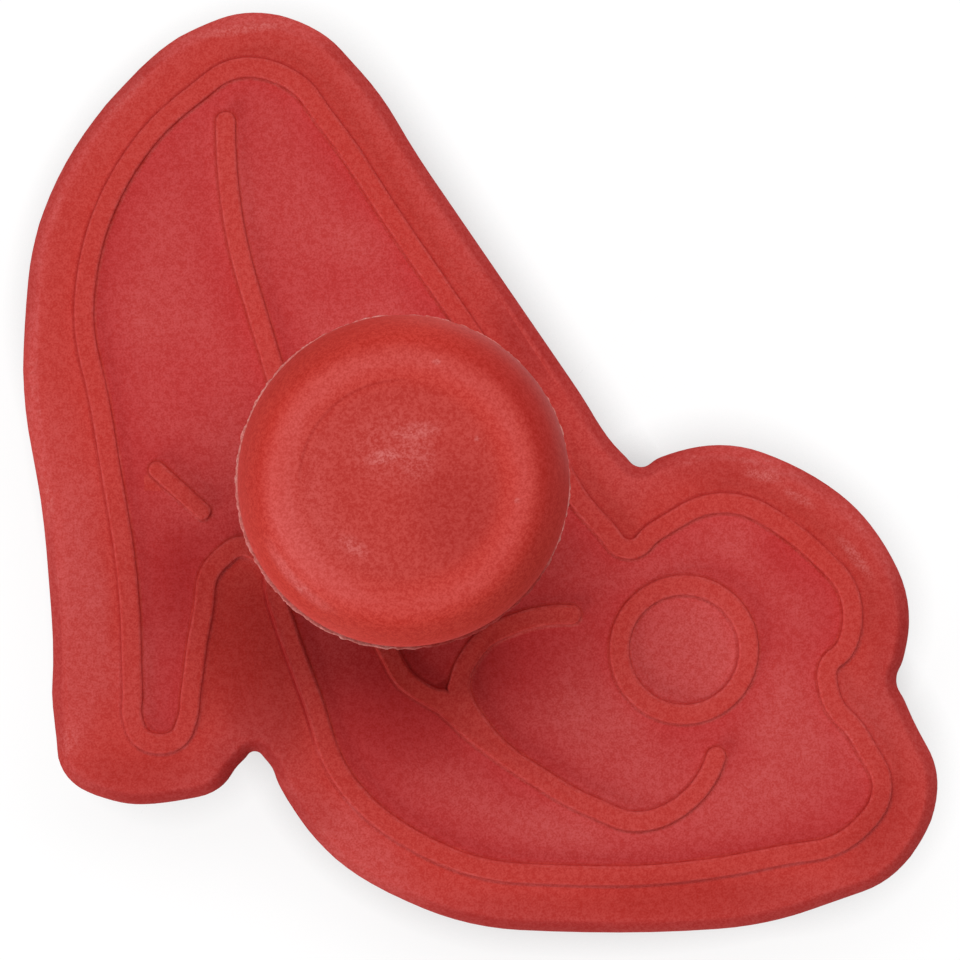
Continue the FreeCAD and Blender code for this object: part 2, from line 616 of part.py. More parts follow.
def write_parts(pieces):
    """Checks every object and writes each piece to its own file."""
    for item in doc.Objects:
        if "Invalid" in item.State or "Error" in item.State:
            raise RuntimeError(f"{item.Name} is {item.State}")
    for piece in pieces:
        if piece.Shape.isNull() or not piece.Shape.isValid():
            raise RuntimeError(f"{piece.Label} has no valid shape")
    os.makedirs("parts", exist_ok=True)
    for piece in pieces:
        piece.Shape.exportStep(f"parts/{piece.Label}.step")
        print(f"{piece.Label}: {len(piece.Shape.Solids)} solid, {piece.Shape.Volume:.1f} mm3")


write_parts([
    make_cutter_body(), make_ejector_plate(), make_return_spring(), make_knob_base(),
    make_knob_cap(), make_retaining_screw(), make_screw_plug(),
])
print(f"travel {size(TRAVEL):.2f}, plunger at {size(PLUNGER_X):.2f}, {size(PLUNGER_Y):.2f}")
print(f"spring seat {size(SEAT_TOP):.2f}, pocket top {size(POCKET_TOP):.2f}, knob rim {size(KNOB_BOTTOM):.2f}")
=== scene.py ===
import logging
import math
from collections.abc import Callable, Iterable
from dataclasses import dataclass, field, replace
from enum import Enum

import bmesh
import bpy
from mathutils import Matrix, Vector, kdtree, noise


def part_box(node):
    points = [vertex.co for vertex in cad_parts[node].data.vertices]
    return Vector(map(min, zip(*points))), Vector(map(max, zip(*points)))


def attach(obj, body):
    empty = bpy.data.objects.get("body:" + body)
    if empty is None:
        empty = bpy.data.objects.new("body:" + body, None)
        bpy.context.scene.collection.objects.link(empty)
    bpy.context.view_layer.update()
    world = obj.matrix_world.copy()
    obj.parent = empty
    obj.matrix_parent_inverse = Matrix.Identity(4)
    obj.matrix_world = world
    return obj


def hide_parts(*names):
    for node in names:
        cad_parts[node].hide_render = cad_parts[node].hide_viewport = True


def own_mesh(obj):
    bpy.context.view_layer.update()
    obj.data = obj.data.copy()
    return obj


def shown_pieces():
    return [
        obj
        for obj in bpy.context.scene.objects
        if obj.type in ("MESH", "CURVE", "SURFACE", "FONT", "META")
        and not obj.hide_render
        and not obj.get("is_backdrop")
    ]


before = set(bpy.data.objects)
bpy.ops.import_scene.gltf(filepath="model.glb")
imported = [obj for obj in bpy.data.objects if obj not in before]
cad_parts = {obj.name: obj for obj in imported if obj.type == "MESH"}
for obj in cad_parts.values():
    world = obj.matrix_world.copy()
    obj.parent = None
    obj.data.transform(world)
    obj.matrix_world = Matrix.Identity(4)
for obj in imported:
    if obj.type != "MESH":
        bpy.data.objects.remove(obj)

log = logging.getLogger("plunger_cutter")
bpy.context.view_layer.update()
MM = 0.001
SHARP_ANGLE = 40.0
NODE_MERGE_REACH = 0.001 * MM
MERGE_REACH = 0.002 * MM
SLIVER_LENGTH = 0.0005 * MM
PLUNGER_AXIS = (-6.1125, -0.7701)

Piece = bpy.types.Object
Edge = bmesh.types.BMEdge
Face = bmesh.types.BMFace
Socket = bpy.types.NodeSocket
Plug = Socket | float | tuple
Colour = tuple[float, float, float, float]
Ramp = tuple[float, ...]


class Body(Enum):
    """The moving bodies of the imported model."""

    CUTTER = "cutter"
    PLUNGER = "plunger"


class Pick(Enum):
    """What an edit-mode selection is made of."""

    EDGES = "EDGE"
    FACES = "FACE"


class Slot(Enum):
    """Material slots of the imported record."""

    CUTTER = "cutter_red"
    EJECTOR = "ejector_red"
    KNOB = "knob_red"
    SPRING = "spring_steel"
    SCREW = "screw_steel"


# Selecting and editing


def drop_all() -> None:
    """Leaves no object selected."""
    bpy.ops.object.select_all(action="DESELECT")


def take(piece: Piece) -> None:
    """Makes a piece the only selected object and the active one."""
    drop_all()
    piece.select_set(True)
    bpy.context.view_layer.objects.active = piece


def open_mesh(piece: Piece) -> None:
    """Opens a piece in edit mode with nothing selected."""
    take(piece)
    bpy.ops.object.mode_set(mode="EDIT")
    bpy.ops.mesh.select_all(action="DESELECT")


def close_mesh() -> None:
    """Leaves edit mode."""
    bpy.ops.object.mode_set(mode="OBJECT")


def choose_all() -> None:
    """Selects all of the open mesh."""
    bpy.ops.mesh.select_all(action="SELECT")


def close_outwards() -> None:
    """Turns the faces of the open mesh outwards and leaves edit mode."""
    choose_all()
    bpy.ops.mesh.normals_make_consistent(inside=False)
    close_mesh()


def choose(piece: Piece, pick: Pick, test: Callable[..., bool]) -> int:
    """Selects what passes a test, in a piece that is open in edit mode.

    Args:
        piece: The piece that is open.
        pick: Whether edges or faces are tested.
        test: Given one of them, says whether it is selected.

    Returns:
        How many were selected.
    """
    bpy.ops.mesh.select_mode(type=pick.value)
    bpy.ops.mesh.select_all(action="DESELECT")
    shape = bmesh.from_edit_mesh(piece.data)
    chosen = [item for item in (shape.edges if pick is Pick.EDGES else shape.faces) if test(item)]
    for item in chosen:
        item.select_set(True)
    bmesh.update_edit_mesh(piece.data)
    return len(chosen)


def sharp(edge: Edge) -> bool:
    """Says whether two faces meet sharply at an edge."""
    return len(edge.link_faces) == 2 and edge.calc_face_angle(0.0) > math.radians(SHARP_ANGLE)


def middle_height(item: Edge | Face) -> float:
    """Mean height of an edge or a face, in millimetres."""
    return sum(vert.co.z for vert in item.verts) / len(item.verts) / MM


def flat(place: Vector) -> Vector:
    """A place laid down on the floor's plane."""
    return Vector((place.x, place.y, 0.0))


def point_tree(points: list[Vector]) -> kdtree.KDTree:
    """The points, ready for a search of the nearest."""
    tree = kdtree.KDTree(len(points))
    for index, point in enumerate(points):
        tree.insert(point, index)
    tree.balance()
    return tree


def merged_copy(node: str, name: str, flat_angle: float = 0.5) -> Piece:
    """A copy of a CAD node with its loose triangles merged and its flat faces made whole.

    Args:
        node: The CAD node.
        name: Name of the new piece.
        flat_angle: Faces that meet at less than this many degrees become one.

    Returns:
        The new piece, at the origin.
    """
    piece = bpy.data.objects.new(name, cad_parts[node].data.copy())
    piece.data.name = name
    bpy.context.scene.collection.objects.link(piece)
    open_mesh(piece)
    choose_all()
    bpy.ops.mesh.remove_doubles(threshold=NODE_MERGE_REACH)
    bpy.ops.mesh.dissolve_limited(angle_limit=math.radians(flat_angle))
    close_mesh()
    return piece


def settle(piece: Piece, smooth_angle: float = SHARP_ANGLE) -> None:
    """Shades a finished piece smooth up to an angle, with its large faces kept flat.

    Args:
        piece: The finished piece.
        smooth_angle: Edges sharper than this many degrees stay sharp.
    """
    take(piece)
    bpy.ops.object.shade_smooth_by_angle(angle=math.radians(smooth_angle))
    bpy.ops.object.modifier_add(type="WEIGHTED_NORMAL")
    piece.modifiers[-1].keep_sharp = True
    bpy.ops.object.modifier_apply(modifier=piece.modifiers[-1].name)


def soften(piece: Piece, width: float, angle: float = 35.0, segments: int = 2) -> None:
    """Rounds every edge of a piece that is sharper than an angle.

    Args:
        piece: The piece.
        width: Width of the rounding, in millimetres.
        angle: The angle, in degrees.
        segments: Faces across the rounding.
    """
    take(piece)
    bpy.ops.object.modifier_add(type="BEVEL")
    bevel = piece.modifiers[-1]
    bevel.width, bevel.segments, bevel.use_clamp_overlap = width * MM, segments, True
    bevel.limit_method, bevel.angle_limit = "ANGLE", math.radians(angle)
    bpy.ops.object.modifier_apply(modifier=bevel.name)


def dress(piece: Piece, material: bpy.types.Material, slot: Slot) -> None:
    """Gives a piece its one material."""
    piece.data.materials.clear()
    piece.data.materials.append(material)


def turned(name: str, axis: tuple[float, float], profile: list[tuple[float, float]], steps: int) -> Piece:
    """A closed solid turned from a profile round an upright axis.

    Args:
        name: Name of the new piece.
        axis: Place of the axis, X and Y in millimetres.
        profile: Radius and height of each corner in millimetres, once round the section.
        steps: How many faces go round the axis.

    Returns:
        The new piece, at the origin.
    """
    centre = Vector((*axis, 0.0)) * MM
    drop_all()
    bpy.ops.mesh.primitive_circle_add(vertices=len(profile), radius=MM)
    piece = bpy.context.object
    piece.name = piece.data.name = name
    for vert, (radius, height) in zip(piece.data.vertices, profile):
        vert.co = centre + Vector((radius, 0.0, height)) * MM
    open_mesh(piece)
    choose_all()
    bpy.ops.mesh.spin(steps=steps, angle=2 * math.pi, center=centre, axis=(0.0, 0.0, 1.0))
    choose_all()
    bpy.ops.mesh.remove_doubles(threshold=MERGE_REACH)
    bpy.ops.mesh.dissolve_degenerate(threshold=SLIVER_LENGTH)
    choose_all()
    bpy.ops.mesh.delete_loose()
    close_outwards()
    return piece


def rounded(points: list[tuple[float, float]], steps: int) -> list[tuple[float, float]]:
    """Points along a smooth line through the given ones.

    Args:
        points: Points that the line passes through, in order.
        steps: Points per gap.

    Returns:
        The denser line, both ends kept.
    """
    line = []
    last = len(points) - 1
    for index in range(last):
        before, start, end, after = (Vector(points[min(max(k, 0), last)]) for k in range(index - 1, index + 3))
        for step in range(steps):
            share = step / steps
            cubic = 2 * start + (end - before) * share + (2 * before - 5 * start + 4 * end - after) * share ** 2
            cubic += (3 * start - 3 * end + after - before) * share ** 3
            line.append(tuple(cubic / 2))
    return line + [points[-1]]


# Materials


@dataclass(frozen=True)
class Mark:
    """A soft oval on a face seen from above: place, half sizes in millimetres, turn in degrees."""

    x: float
    y: float
    length: float
    width: float
    turn: float = 0.0
    strength: float = 1.0
    core: float = 0.25

    def at(self, x: float, y: float) -> float:
        """How strong the mark is at a place, X and Y in millimetres."""
        turn = math.radians(self.turn)
        along = ((x - self.x) * math.cos(turn) + (y - self.y) * math.sin(turn)) / self.length
        across = ((y - self.y) * math.cos(turn) - (x - self.x) * math.sin(turn)) / self.width
        share = min(max((math.hypot(along, across) - self.core) / (1.0 - self.core), 0.0), 1.0)
        return self.strength * (1.0 - share * share * (3.0 - 2.0 * share))


class Net:
    """Adds and links the nodes of one material or node group."""

    def __init__(self, tree: bpy.types.NodeTree) -> None:
        """Starts on a node tree."""
        self.tree = tree

    def feed(self, socket: Socket, value: Plug) -> None:
        """Links a socket to another, or sets its plain value."""
        if isinstance(value, Socket):
            self.tree.links.new(value, socket)
        else:
            socket.default_value = value

    def add(self, kind: str, inputs: dict[str | int, Plug] | None = None, **settings: object) -> bpy.types.Node:
        """Adds a node.

        Args:
            kind: The node's type.
            inputs: What its sockets take, by name or number.
            settings: The node's own properties.

        Returns:
            The node.
        """
        node = self.tree.nodes.new(kind)
        for name, value in settings.items():
            setattr(node, name, value)
        for key, value in (inputs or {}).items():
            self.feed(node.inputs[key], value)
        return node

    def math(self, operation: str, first: Plug, second: Plug = 0.0, clamp: bool = False) -> Socket:
        """The result of a Math node."""
        node = self.add("ShaderNodeMath", {0: first, 1: second}, operation=operation, use_clamp=clamp)
        return node.outputs[0]

    def times(self, *factors: Plug) -> Socket:
        """The product of several values."""
        result = factors[0]
        for factor in factors[1:]:
            result = self.math("MULTIPLY", result, factor)
        return result

    def step(self, value: Plug, low: float, high: float, start: float = 0.0, end: float = 1.0) -> Socket:
        """A smooth step from start, at low, to end, at high."""
        inputs = {"Value": value, "From Min": low, "From Max": high, "To Min": start, "To Max": end}
        return self.add("ShaderNodeMapRange", inputs, interpolation_type="SMOOTHSTEP").outputs["Result"]

    def span(self, value: Plug, start: Plug, end: Plug) -> Socket:
        """A value from zero to one, spread from start to end."""
        inputs = {"Value": value, "To Min": start, "To Max": end}
        return self.add("ShaderNodeMapRange", inputs).outputs["Result"]

    def band(self, value: Plug, low: float, high: float, soft: float) -> Socket:
        """One between two values and zero outside them, with soft ends."""
        rise = self.step(value, low - soft, low + soft)
        return self.times(rise, self.step(value, high - soft, high + soft, 1.0, 0.0))

    def without(self, value: Plug, mask: Plug) -> Socket:
        """A value with a mask taken out of it."""
        return self.times(value, self.math("SUBTRACT", 1.0, mask))

    def together(self, *masks: Plug) -> Socket:
        """Several masks added up, no more than one."""
        total = masks[0]
        for mask in masks[1:]:
            total = self.math("ADD", total, mask, True)
        return total

    def mix(self, factor: Plug, first: Plug, second: Plug, blend: str = "MIX") -> Socket:
        """Two colours mixed by a factor."""
        inputs = {"Factor": factor, 6: first, 7: second}
        return self.add("ShaderNodeMix", inputs, data_type="RGBA", blend_type=blend).outputs[2]

    def noise(self, place: Plug, scale: Plug, detail: float = 2.0, roughness: float = 0.5) -> Socket:
        """The value of a noise over a place, scale in features per metre."""
        inputs = {"Vector": place, "Scale": scale, "Detail": detail, "Roughness": roughness}
        return self.add("ShaderNodeTexNoise", inputs).outputs[0]

    def attribute(self, name: str) -> Socket:
        """A number that the piece's own vertices hold."""
        return self.add("ShaderNodeAttribute", attribute_name=name).outputs["Fac"]

    def place(self) -> Socket:
        """Object coordinates."""
        return self.add("ShaderNodeTexCoord").outputs["Object"]

    def height(self, place: Plug) -> Socket:
        """Height above the cutting edge, in millimetres."""
        return self.math("DIVIDE", self.add("ShaderNodeSeparateXYZ", {0: place}).outputs["Z"], MM)

    def away(self, place: Plug, x: float, y: float, unit: tuple, turn: float = 0.0) -> Socket:
        """Distance from an upright line, in units that may differ along the three axes."""
        inputs = {"Vector": place, "Location": (x * MM, y * MM, 0.0), "Scale": unit}
        inputs["Rotation"] = (0.0, 0.0, math.radians(turn))
        near = self.add("ShaderNodeMapping", inputs, vector_type="TEXTURE").outputs[0]
        return self.add("ShaderNodeVectorMath", {0: near}, operation="LENGTH").outputs["Value"]

    def reach(self, place: Plug, x: float, y: float) -> Socket:
        """Distance from an upright line, in millimetres."""
        return self.away(place, x, y, (MM, MM, 1.0 / MM))

    def spot(self, place: Plug, mark: Mark) -> Socket:
        """A soft oval mask that runs up and down through the piece."""
        reach = self.away(place, mark.x, mark.y, (mark.length * MM, mark.width * MM, 1.0), mark.turn)
        return self.step(reach, mark.core, 1.0, mark.strength, 0.0)

    def spots(self, place: Plug, marks: Iterable[Mark]) -> Socket:
        """Several soft ovals together."""
        total = None
        for mark in marks:
            spot = self.spot(place, mark)
            total = spot if total is None else self.math("MAXIMUM", total, spot)
        return total


def new_group(name: str, inputs: dict[str, str], outputs: dict[str, str]) -> tuple[Net, dict, dict]:
    """An empty shader node group.

    Args:
        name: Name of the group.
        inputs: Socket type of each input, by name.
        outputs: Socket type of each output, by name.

    Returns:
        Its net, its inputs inside the group and its outputs inside the group, by name.
    """
    tree = bpy.data.node_groups.new(name, "ShaderNodeTree")
    for direction, sockets in (("INPUT", inputs), ("OUTPUT", outputs)):
        for socket, kind in sockets.items():
            tree.interface.new_socket(socket, in_out=direction, socket_type=kind)
    net = Net(tree)
    given = net.add("NodeGroupInput").outputs
    result = net.add("NodeGroupOutput").inputs
    return net, {key: given[key] for key in inputs}, {key: result[key] for key in outputs}


VALUE, VECTOR = "NodeSocketFloat", "NodeSocketVector"


def make_cloudy(name: str, coarse: Ramp, finer: float, fine: Ramp, share: float, edges: Ramp) -> bpy.types.NodeTree:
    """Two noises blended to a height, and a mask of where it is high.

    Args:
        name: Name of the group.
        coarse: Detail and roughness of the coarse noise.
        finer: How many times finer the other noise is.
        fine: Detail and roughness of the fine noise.
        share: Share of the coarse noise.
        edges: Heights at which the mask starts and is full.

    Returns:
        The node group.
    """
    net, given, result = new_group(name, {"Place": VECTOR, "Scale": VALUE}, {"Mask": VALUE, "Height": VALUE})
    clouds = net.noise(given["Place"], given["Scale"], *coarse)
    wisps = net.noise(given["Place"], net.times(given["Scale"], finer), *fine)
    height = net.math("ADD", net.times(clouds, share), net.times(wisps, 1.0 - share))
    net.feed(result["Height"], height)
    net.feed(result["Mask"], net.step(height, *edges))
    return net.tree


def make_scuff() -> bpy.types.NodeTree:
    """Pale broken rubs along the edges that are handled: a mask."""
    net, given, result = new_group("edge_scuff", {"Place": VECTOR, "Edge": VALUE, "Scale": VALUE}, {"Scuff": VALUE})
    run_noise, run_range = (2.0, 0.5), (0.42, 0.68)
    finer, speck_noise, speck_range = 7.0, (4.0, 0.7), (0.44, 0.62)
    runs = net.noise(given["Place"], given["Scale"], *run_noise)
    specks = net.noise(given["Place"], net.times(given["Scale"], finer), *speck_noise)
    broken = net.times(net.step(runs, *run_range), net.step(specks, *speck_range))
    net.feed(result["Scuff"], net.times(broken, given["Edge"]))
    return net.tree


# The fine spark-eroded grain of a moulded face, the pale film on soft plastic and the rubs along its edges
GRAIN = make_cloudy("moulded_grain", coarse=(3.0, 0.65), finer=2.6, fine=(1.0, 0.5), share=0.55, edges=(0.36, 0.64))
BLOOM = make_cloudy("wax_bloom", coarse=(3.0, 0.55), finer=4.3, fine=(4.0, 0.65), share=0.68, edges=(0.36, 0.66))
SCUFF = make_scuff()


def effect(net: Net, group: bpy.types.NodeTree, **inputs: Plug) -> bpy.types.Node:
    """Places a shared node group in a material."""
    return net.add("ShaderNodeGroup", inputs, node_tree=group)


def new_material(name: str) -> tuple[bpy.types.Material, Net, bpy.types.Node]:
    """A material with its shader wired to the output.

    Args:
        name: Name of the material.

    Returns:
        The material, its net and its Principled shader.
    """
    material = bpy.data.materials.new(name)
    material.use_nodes = True
    material.node_tree.nodes.clear()
    net = Net(material.node_tree)
    shader = net.add("ShaderNodeBsdfPrincipled")
    net.add("ShaderNodeOutputMaterial", {"Surface": shader.outputs[0]})
    return material, net, shader


@dataclass(frozen=True)
class Masks:
    """How strongly each part of the finish, and the light and shade painted on it, shows on a piece, from zero to
    one.
    """

    ground: Plug = 0.0
    grain: Plug = 1.0
    # Pale wax film, and highlights and sheen painted through it
    bloom_and_painted_light: Plug = 0.0
    painted_shade: Plug = 0.0
    # Shade painted in creases, at the foot of raised lines and on sides turned from the light
    edge: Plug = 0.0
    # Rubbed pale marks, and a sheen painted on the knob's disc
    wear_and_sheen: Plug = 0.0


@dataclass(frozen=True)
class RedPlastic:
    """Matte moulded plastic, colours as they look in plain light."""

    name: str
    body: Colour = (0.530, 0.0430, 0.0335, 1.0)
    ground: Colour = (0.500, 0.0340, 0.0350, 1.0)
    # The film colour, which also paints highlights and sheen
    bloom_and_painted_light: Colour = (0.595, 0.0860, 0.0810, 1.0)
    # Colour of the painted shade
    painted_shade: Colour = (0.330, 0.0170, 0.0160, 1.0)
    scuff: Colour = (0.640, 0.140, 0.128, 1.0)
    pit: Colour = (0.92, 0.70, 0.67, 1.0)
    peak: Colour = (1.08, 1.30, 1.33, 1.0)
    grain_scale: float = 2500.0
    bloom_scale: float = 85.0
    scuff_scale: float = 260.0
    film_spread: tuple[float, float] = (0.52, 0.84)
    rub_spread: tuple[float, float] = (0.5, 1.3)
    roughness: float = 0.52
    film_roughness: float = 0.66
    gloss: float = 0.05
    bump: float = 0.25
    grain_depth: float = 0.05

    def material(self, masks: Callable[[Net, Socket], Masks]) -> bpy.types.Material:
        """Builds the material.

        Args:
            masks: Given the net and Object coordinates, the masks of this piece.

        Returns:
            The material.
        """
        material, net, shader = new_material(self.name)
        place = net.place()
        mask = masks(net, place)
        grain = effect(net, GRAIN, Place=place, Scale=self.grain_scale)
        bloom_and_painted_light = effect(net, BLOOM, Place=place, Scale=self.bloom_scale).outputs["Mask"]
        scuff = effect(net, SCUFF, Place=place, Edge=mask.edge, Scale=self.scuff_scale).outputs["Scuff"]
        film = net.math("MULTIPLY", net.span(bloom_and_painted_light, *self.film_spread), mask.bloom_and_painted_light, True)
        colour = net.mix(mask.ground, self.body, self.ground)
        # Pale film, which also lays on the painted highlights and sheen
        colour = net.mix(film, colour, self.bloom_and_painted_light)
        # Painted shade
        colour = net.mix(mask.painted_shade, colour, self.painted_shade)
        # Rubbed pale marks, and on the knob's disc a painted sheen
        rubbed = net.times(mask.wear_and_sheen, net.span(grain.outputs["Mask"], *self.rub_spread))
        colour = net.mix(net.together(scuff, rubbed), colour, self.scuff)
        speckle = net.mix(grain.outputs["Mask"], self.pit, self.peak)
        colour = net.mix(mask.grain, colour, speckle, "MULTIPLY")
        lift = net.times(grain.outputs["Height"], mask.grain)
        pits = {"Strength": self.bump, "Distance": self.grain_depth * MM, "Height": lift}
        bump = net.add("ShaderNodeBump", pits)
        shader.inputs["Specular IOR Level"].default_value = self.gloss
        net.feed(shader.inputs["Base Color"], colour)
        net.feed(shader.inputs["Roughness"], net.span(film, self.roughness, self.film_roughness))
        net.feed(shader.inputs["Normal"], bump.outputs[0])
        return material


@dataclass(frozen=True)
class Steel:
    """Bright steel with the marks of drawing or rolling along one direction."""

    name: str
    bright: Colour = (0.62, 0.62, 0.63, 1.0)
    dark_tone_and_painted_shade: Colour = (0.38, 0.38, 0.39, 1.0)
    roughness: float = 0.28
    film_rise: float = 0.16
    film_scale: float = 420.0
    mark_scale: float = 5200.0
    mark_noise: Ramp = (3.0, 0.6)
    mark_stretch: tuple[float, float, float] = (1.0, 1.0, 0.12)
    mark_range: tuple[float, float] = (0.3, 0.7)
    mark_bump: float = 0.15
    mark_depth: float = 0.01

    def material(self) -> bpy.types.Material:
        """Builds the material."""
        material, net, shader = new_material(self.name)
        place = net.place()
        stretched = net.add("ShaderNodeMapping", {"Vector": place, "Scale": self.mark_stretch}).outputs[0]
        marks = net.noise(stretched, self.mark_scale, *self.mark_noise)
        film = effect(net, BLOOM, Place=place, Scale=self.film_scale).outputs["Mask"]
        colour = net.mix(net.step(marks, *self.mark_range), self.dark_tone_and_painted_shade, self.bright)
        rough = net.span(film, self.roughness, self.roughness + self.film_rise)
        dents = {"Strength": self.mark_bump, "Distance": self.mark_depth * MM, "Height": marks}
        bump = net.add("ShaderNodeBump", dents)
        shader.inputs["Metallic"].default_value = 1.0
        net.feed(shader.inputs["Base Color"], colour)
        net.feed(shader.inputs["Roughness"], rough)
        net.feed(shader.inputs["Normal"], bump.outputs[0])
        return material


# The pieces


@dataclass(frozen=True)
class Nudge:
    """A soft push of lines round a place, in millimetres."""

    x: float
    y: float
    push: tuple[float, float]
    reach: float

    def weight(self, place: Vector) -> float:
        """How much of the push a place takes, X and Y in metres."""
        return math.exp(-(Vector((place.x / MM - self.x, place.y / MM - self.y)).length / self.reach) ** 2 / 2)


# Where the flange's film is thick or thin (thin also as painted shadow under the knob), where its rim is rubbed pale
# with a painted highlight, and where shade is painted on it and on its raised lines
FLANGE_MARKS: dict[str, tuple[Mark, ...]] = {
    "pale": (
        Mark(16.9, -14.1, 6.5, 6.5, 0.0, 0.9, 0.6), Mark(26.1, -19.5, 6.0, 7.0, 0.0, 0.6),
        Mark(19.6, -4.7, 6.0, 3.0, 0.0, 0.6), Mark(14.5, -27.5, 16.0, 5.0, 8.0, 0.85),
        Mark(31.0, -21.5, 4.0, 6.0, 0.0, 0.6), Mark(11.0, -21.0, 5.0, 6.0, 0.0, 0.7),
        Mark(14.5, -8.0, 5.5, 2.5, 10.0, 0.7), Mark(-33.0, -12.5, 3.2, 10.5, 0.0, 1.0, 0.5),
        Mark(-28.4, -17.0, 2.4, 5.5, 0.0, 1.0, 0.5), Mark(-24.0, -1.8, 4.2, 3.0, -45.0, 0.7),
        Mark(-19.8, 22.0, 3.2, 10.0, 11.0, 0.6), Mark(-9.9, -30.1, 7.5, 3.0, -42.0, 0.9),
        Mark(-32.6, -3.0, 2.2, 5.0, 0.0, 0.6), Mark(-9.5, 19.0, 4.0, 3.0, 0.0, 0.4),
    ),
    # Film taken away; under the knob this paints its shadow
    "no_film_and_painted_shade": (
        Mark(-12.0, 15.5, 5.0, 4.0, 0.0, 0.5), Mark(26.0, -6.5, 6.0, 4.0, -40.0, 0.7),
        Mark(-19.7, -14.1, 5.0, 9.0), Mark(-7.0, -19.0, 8.5, 8.0), Mark(3.0, -15.3, 6.0, 6.0),
        Mark(-24.0, 7.5, 5.0, 6.0, 0.0, 0.5), Mark(-24.6, 22.7, 4.0, 5.5, 0.0, 0.3),
        Mark(14.2, -35.0, 14.0, 2.6, 2.0, 0.7), Mark(-31.0, -24.4, 7.5, 4.0, 0.0, 0.6),
        Mark(-34.5, 14.0, 3.5, 17.0, -12.0, 0.4), Mark(-24.0, 34.0, 8.0, 4.0, 35.0, 0.4),
        Mark(-8.5, 23.5, 3.0, 13.0, 33.0, 0.5), Mark(-24.9, -8.0, 3.5, 5.5),
    ),
    # Rubbed pale rim, partly a painted highlight
    "rub_and_highlight": (
        Mark(-36.0, 4.0, 3.5, 15.0), Mark(-19.5, 36.5, 11.0, 4.5, 8.0, 1.0, 0.5), Mark(-31.5, 24.0, 3.5, 13.0, -30.0),
        Mark(-33.0, -25.0, 5.0, 5.0, 0.0, 0.4), Mark(-10.0, -31.0, 10.0, 3.5, -42.0, 0.7),
        Mark(20.5, 0.5, 8.0, 3.5), Mark(30.5, -6.0, 8.0, 3.5, -55.0),
    ),
    # Painted shade under and beside the knob, at the heel and along the lower and right borders
    "dark_tone_and_painted_shade": (
        Mark(33.8, -14.0, 3.4, 10.0, 0.0, 0.26), Mark(32.8, -29.0, 3.4, 6.5, -25.0, 0.32),
        Mark(17.0, -35.0, 15.0, 2.8, 3.0, 0.32), Mark(4.5, -36.2, 12.0, 2.4, -2.0, 0.26),
        Mark(-27.5, -25.0, 8.0, 3.6, 0.0, 0.28), Mark(-20.0, -24.5, 4.0, 4.0, 0.0, 0.40),
        Mark(-18.2, -16.5, 4.6, 10.5, 10.0, 0.42, 0.5), Mark(-24.3, -9.0, 3.4, 6.5, 0.0, 0.26),
        Mark(-14.2, -28.2, 2.6, 3.8, 42.0, 0.26), Mark(-5.5, -20.0, 6.5, 6.5, -40.0, 0.25),
        Mark(0.2, -15.0, 3.6, 4.6, 0.0, 0.42), Mark(6.3, -7.4, 2.6, 4.2, -40.0, 0.25),
        Mark(3.6, 10.4, 2.4, 6.0, 33.0, 0.46), Mark(18.5, 0.4, 7.0, 2.4, -8.0, 0.26),
    ),
    "shaded": (Mark(-16.2, -15.5, 2.6, 9.0, 14.0, 1.0, 0.6), Mark(-6.0, -17.5, 3.2, 7.0, 42.0, 1.0, 0.6)),
}


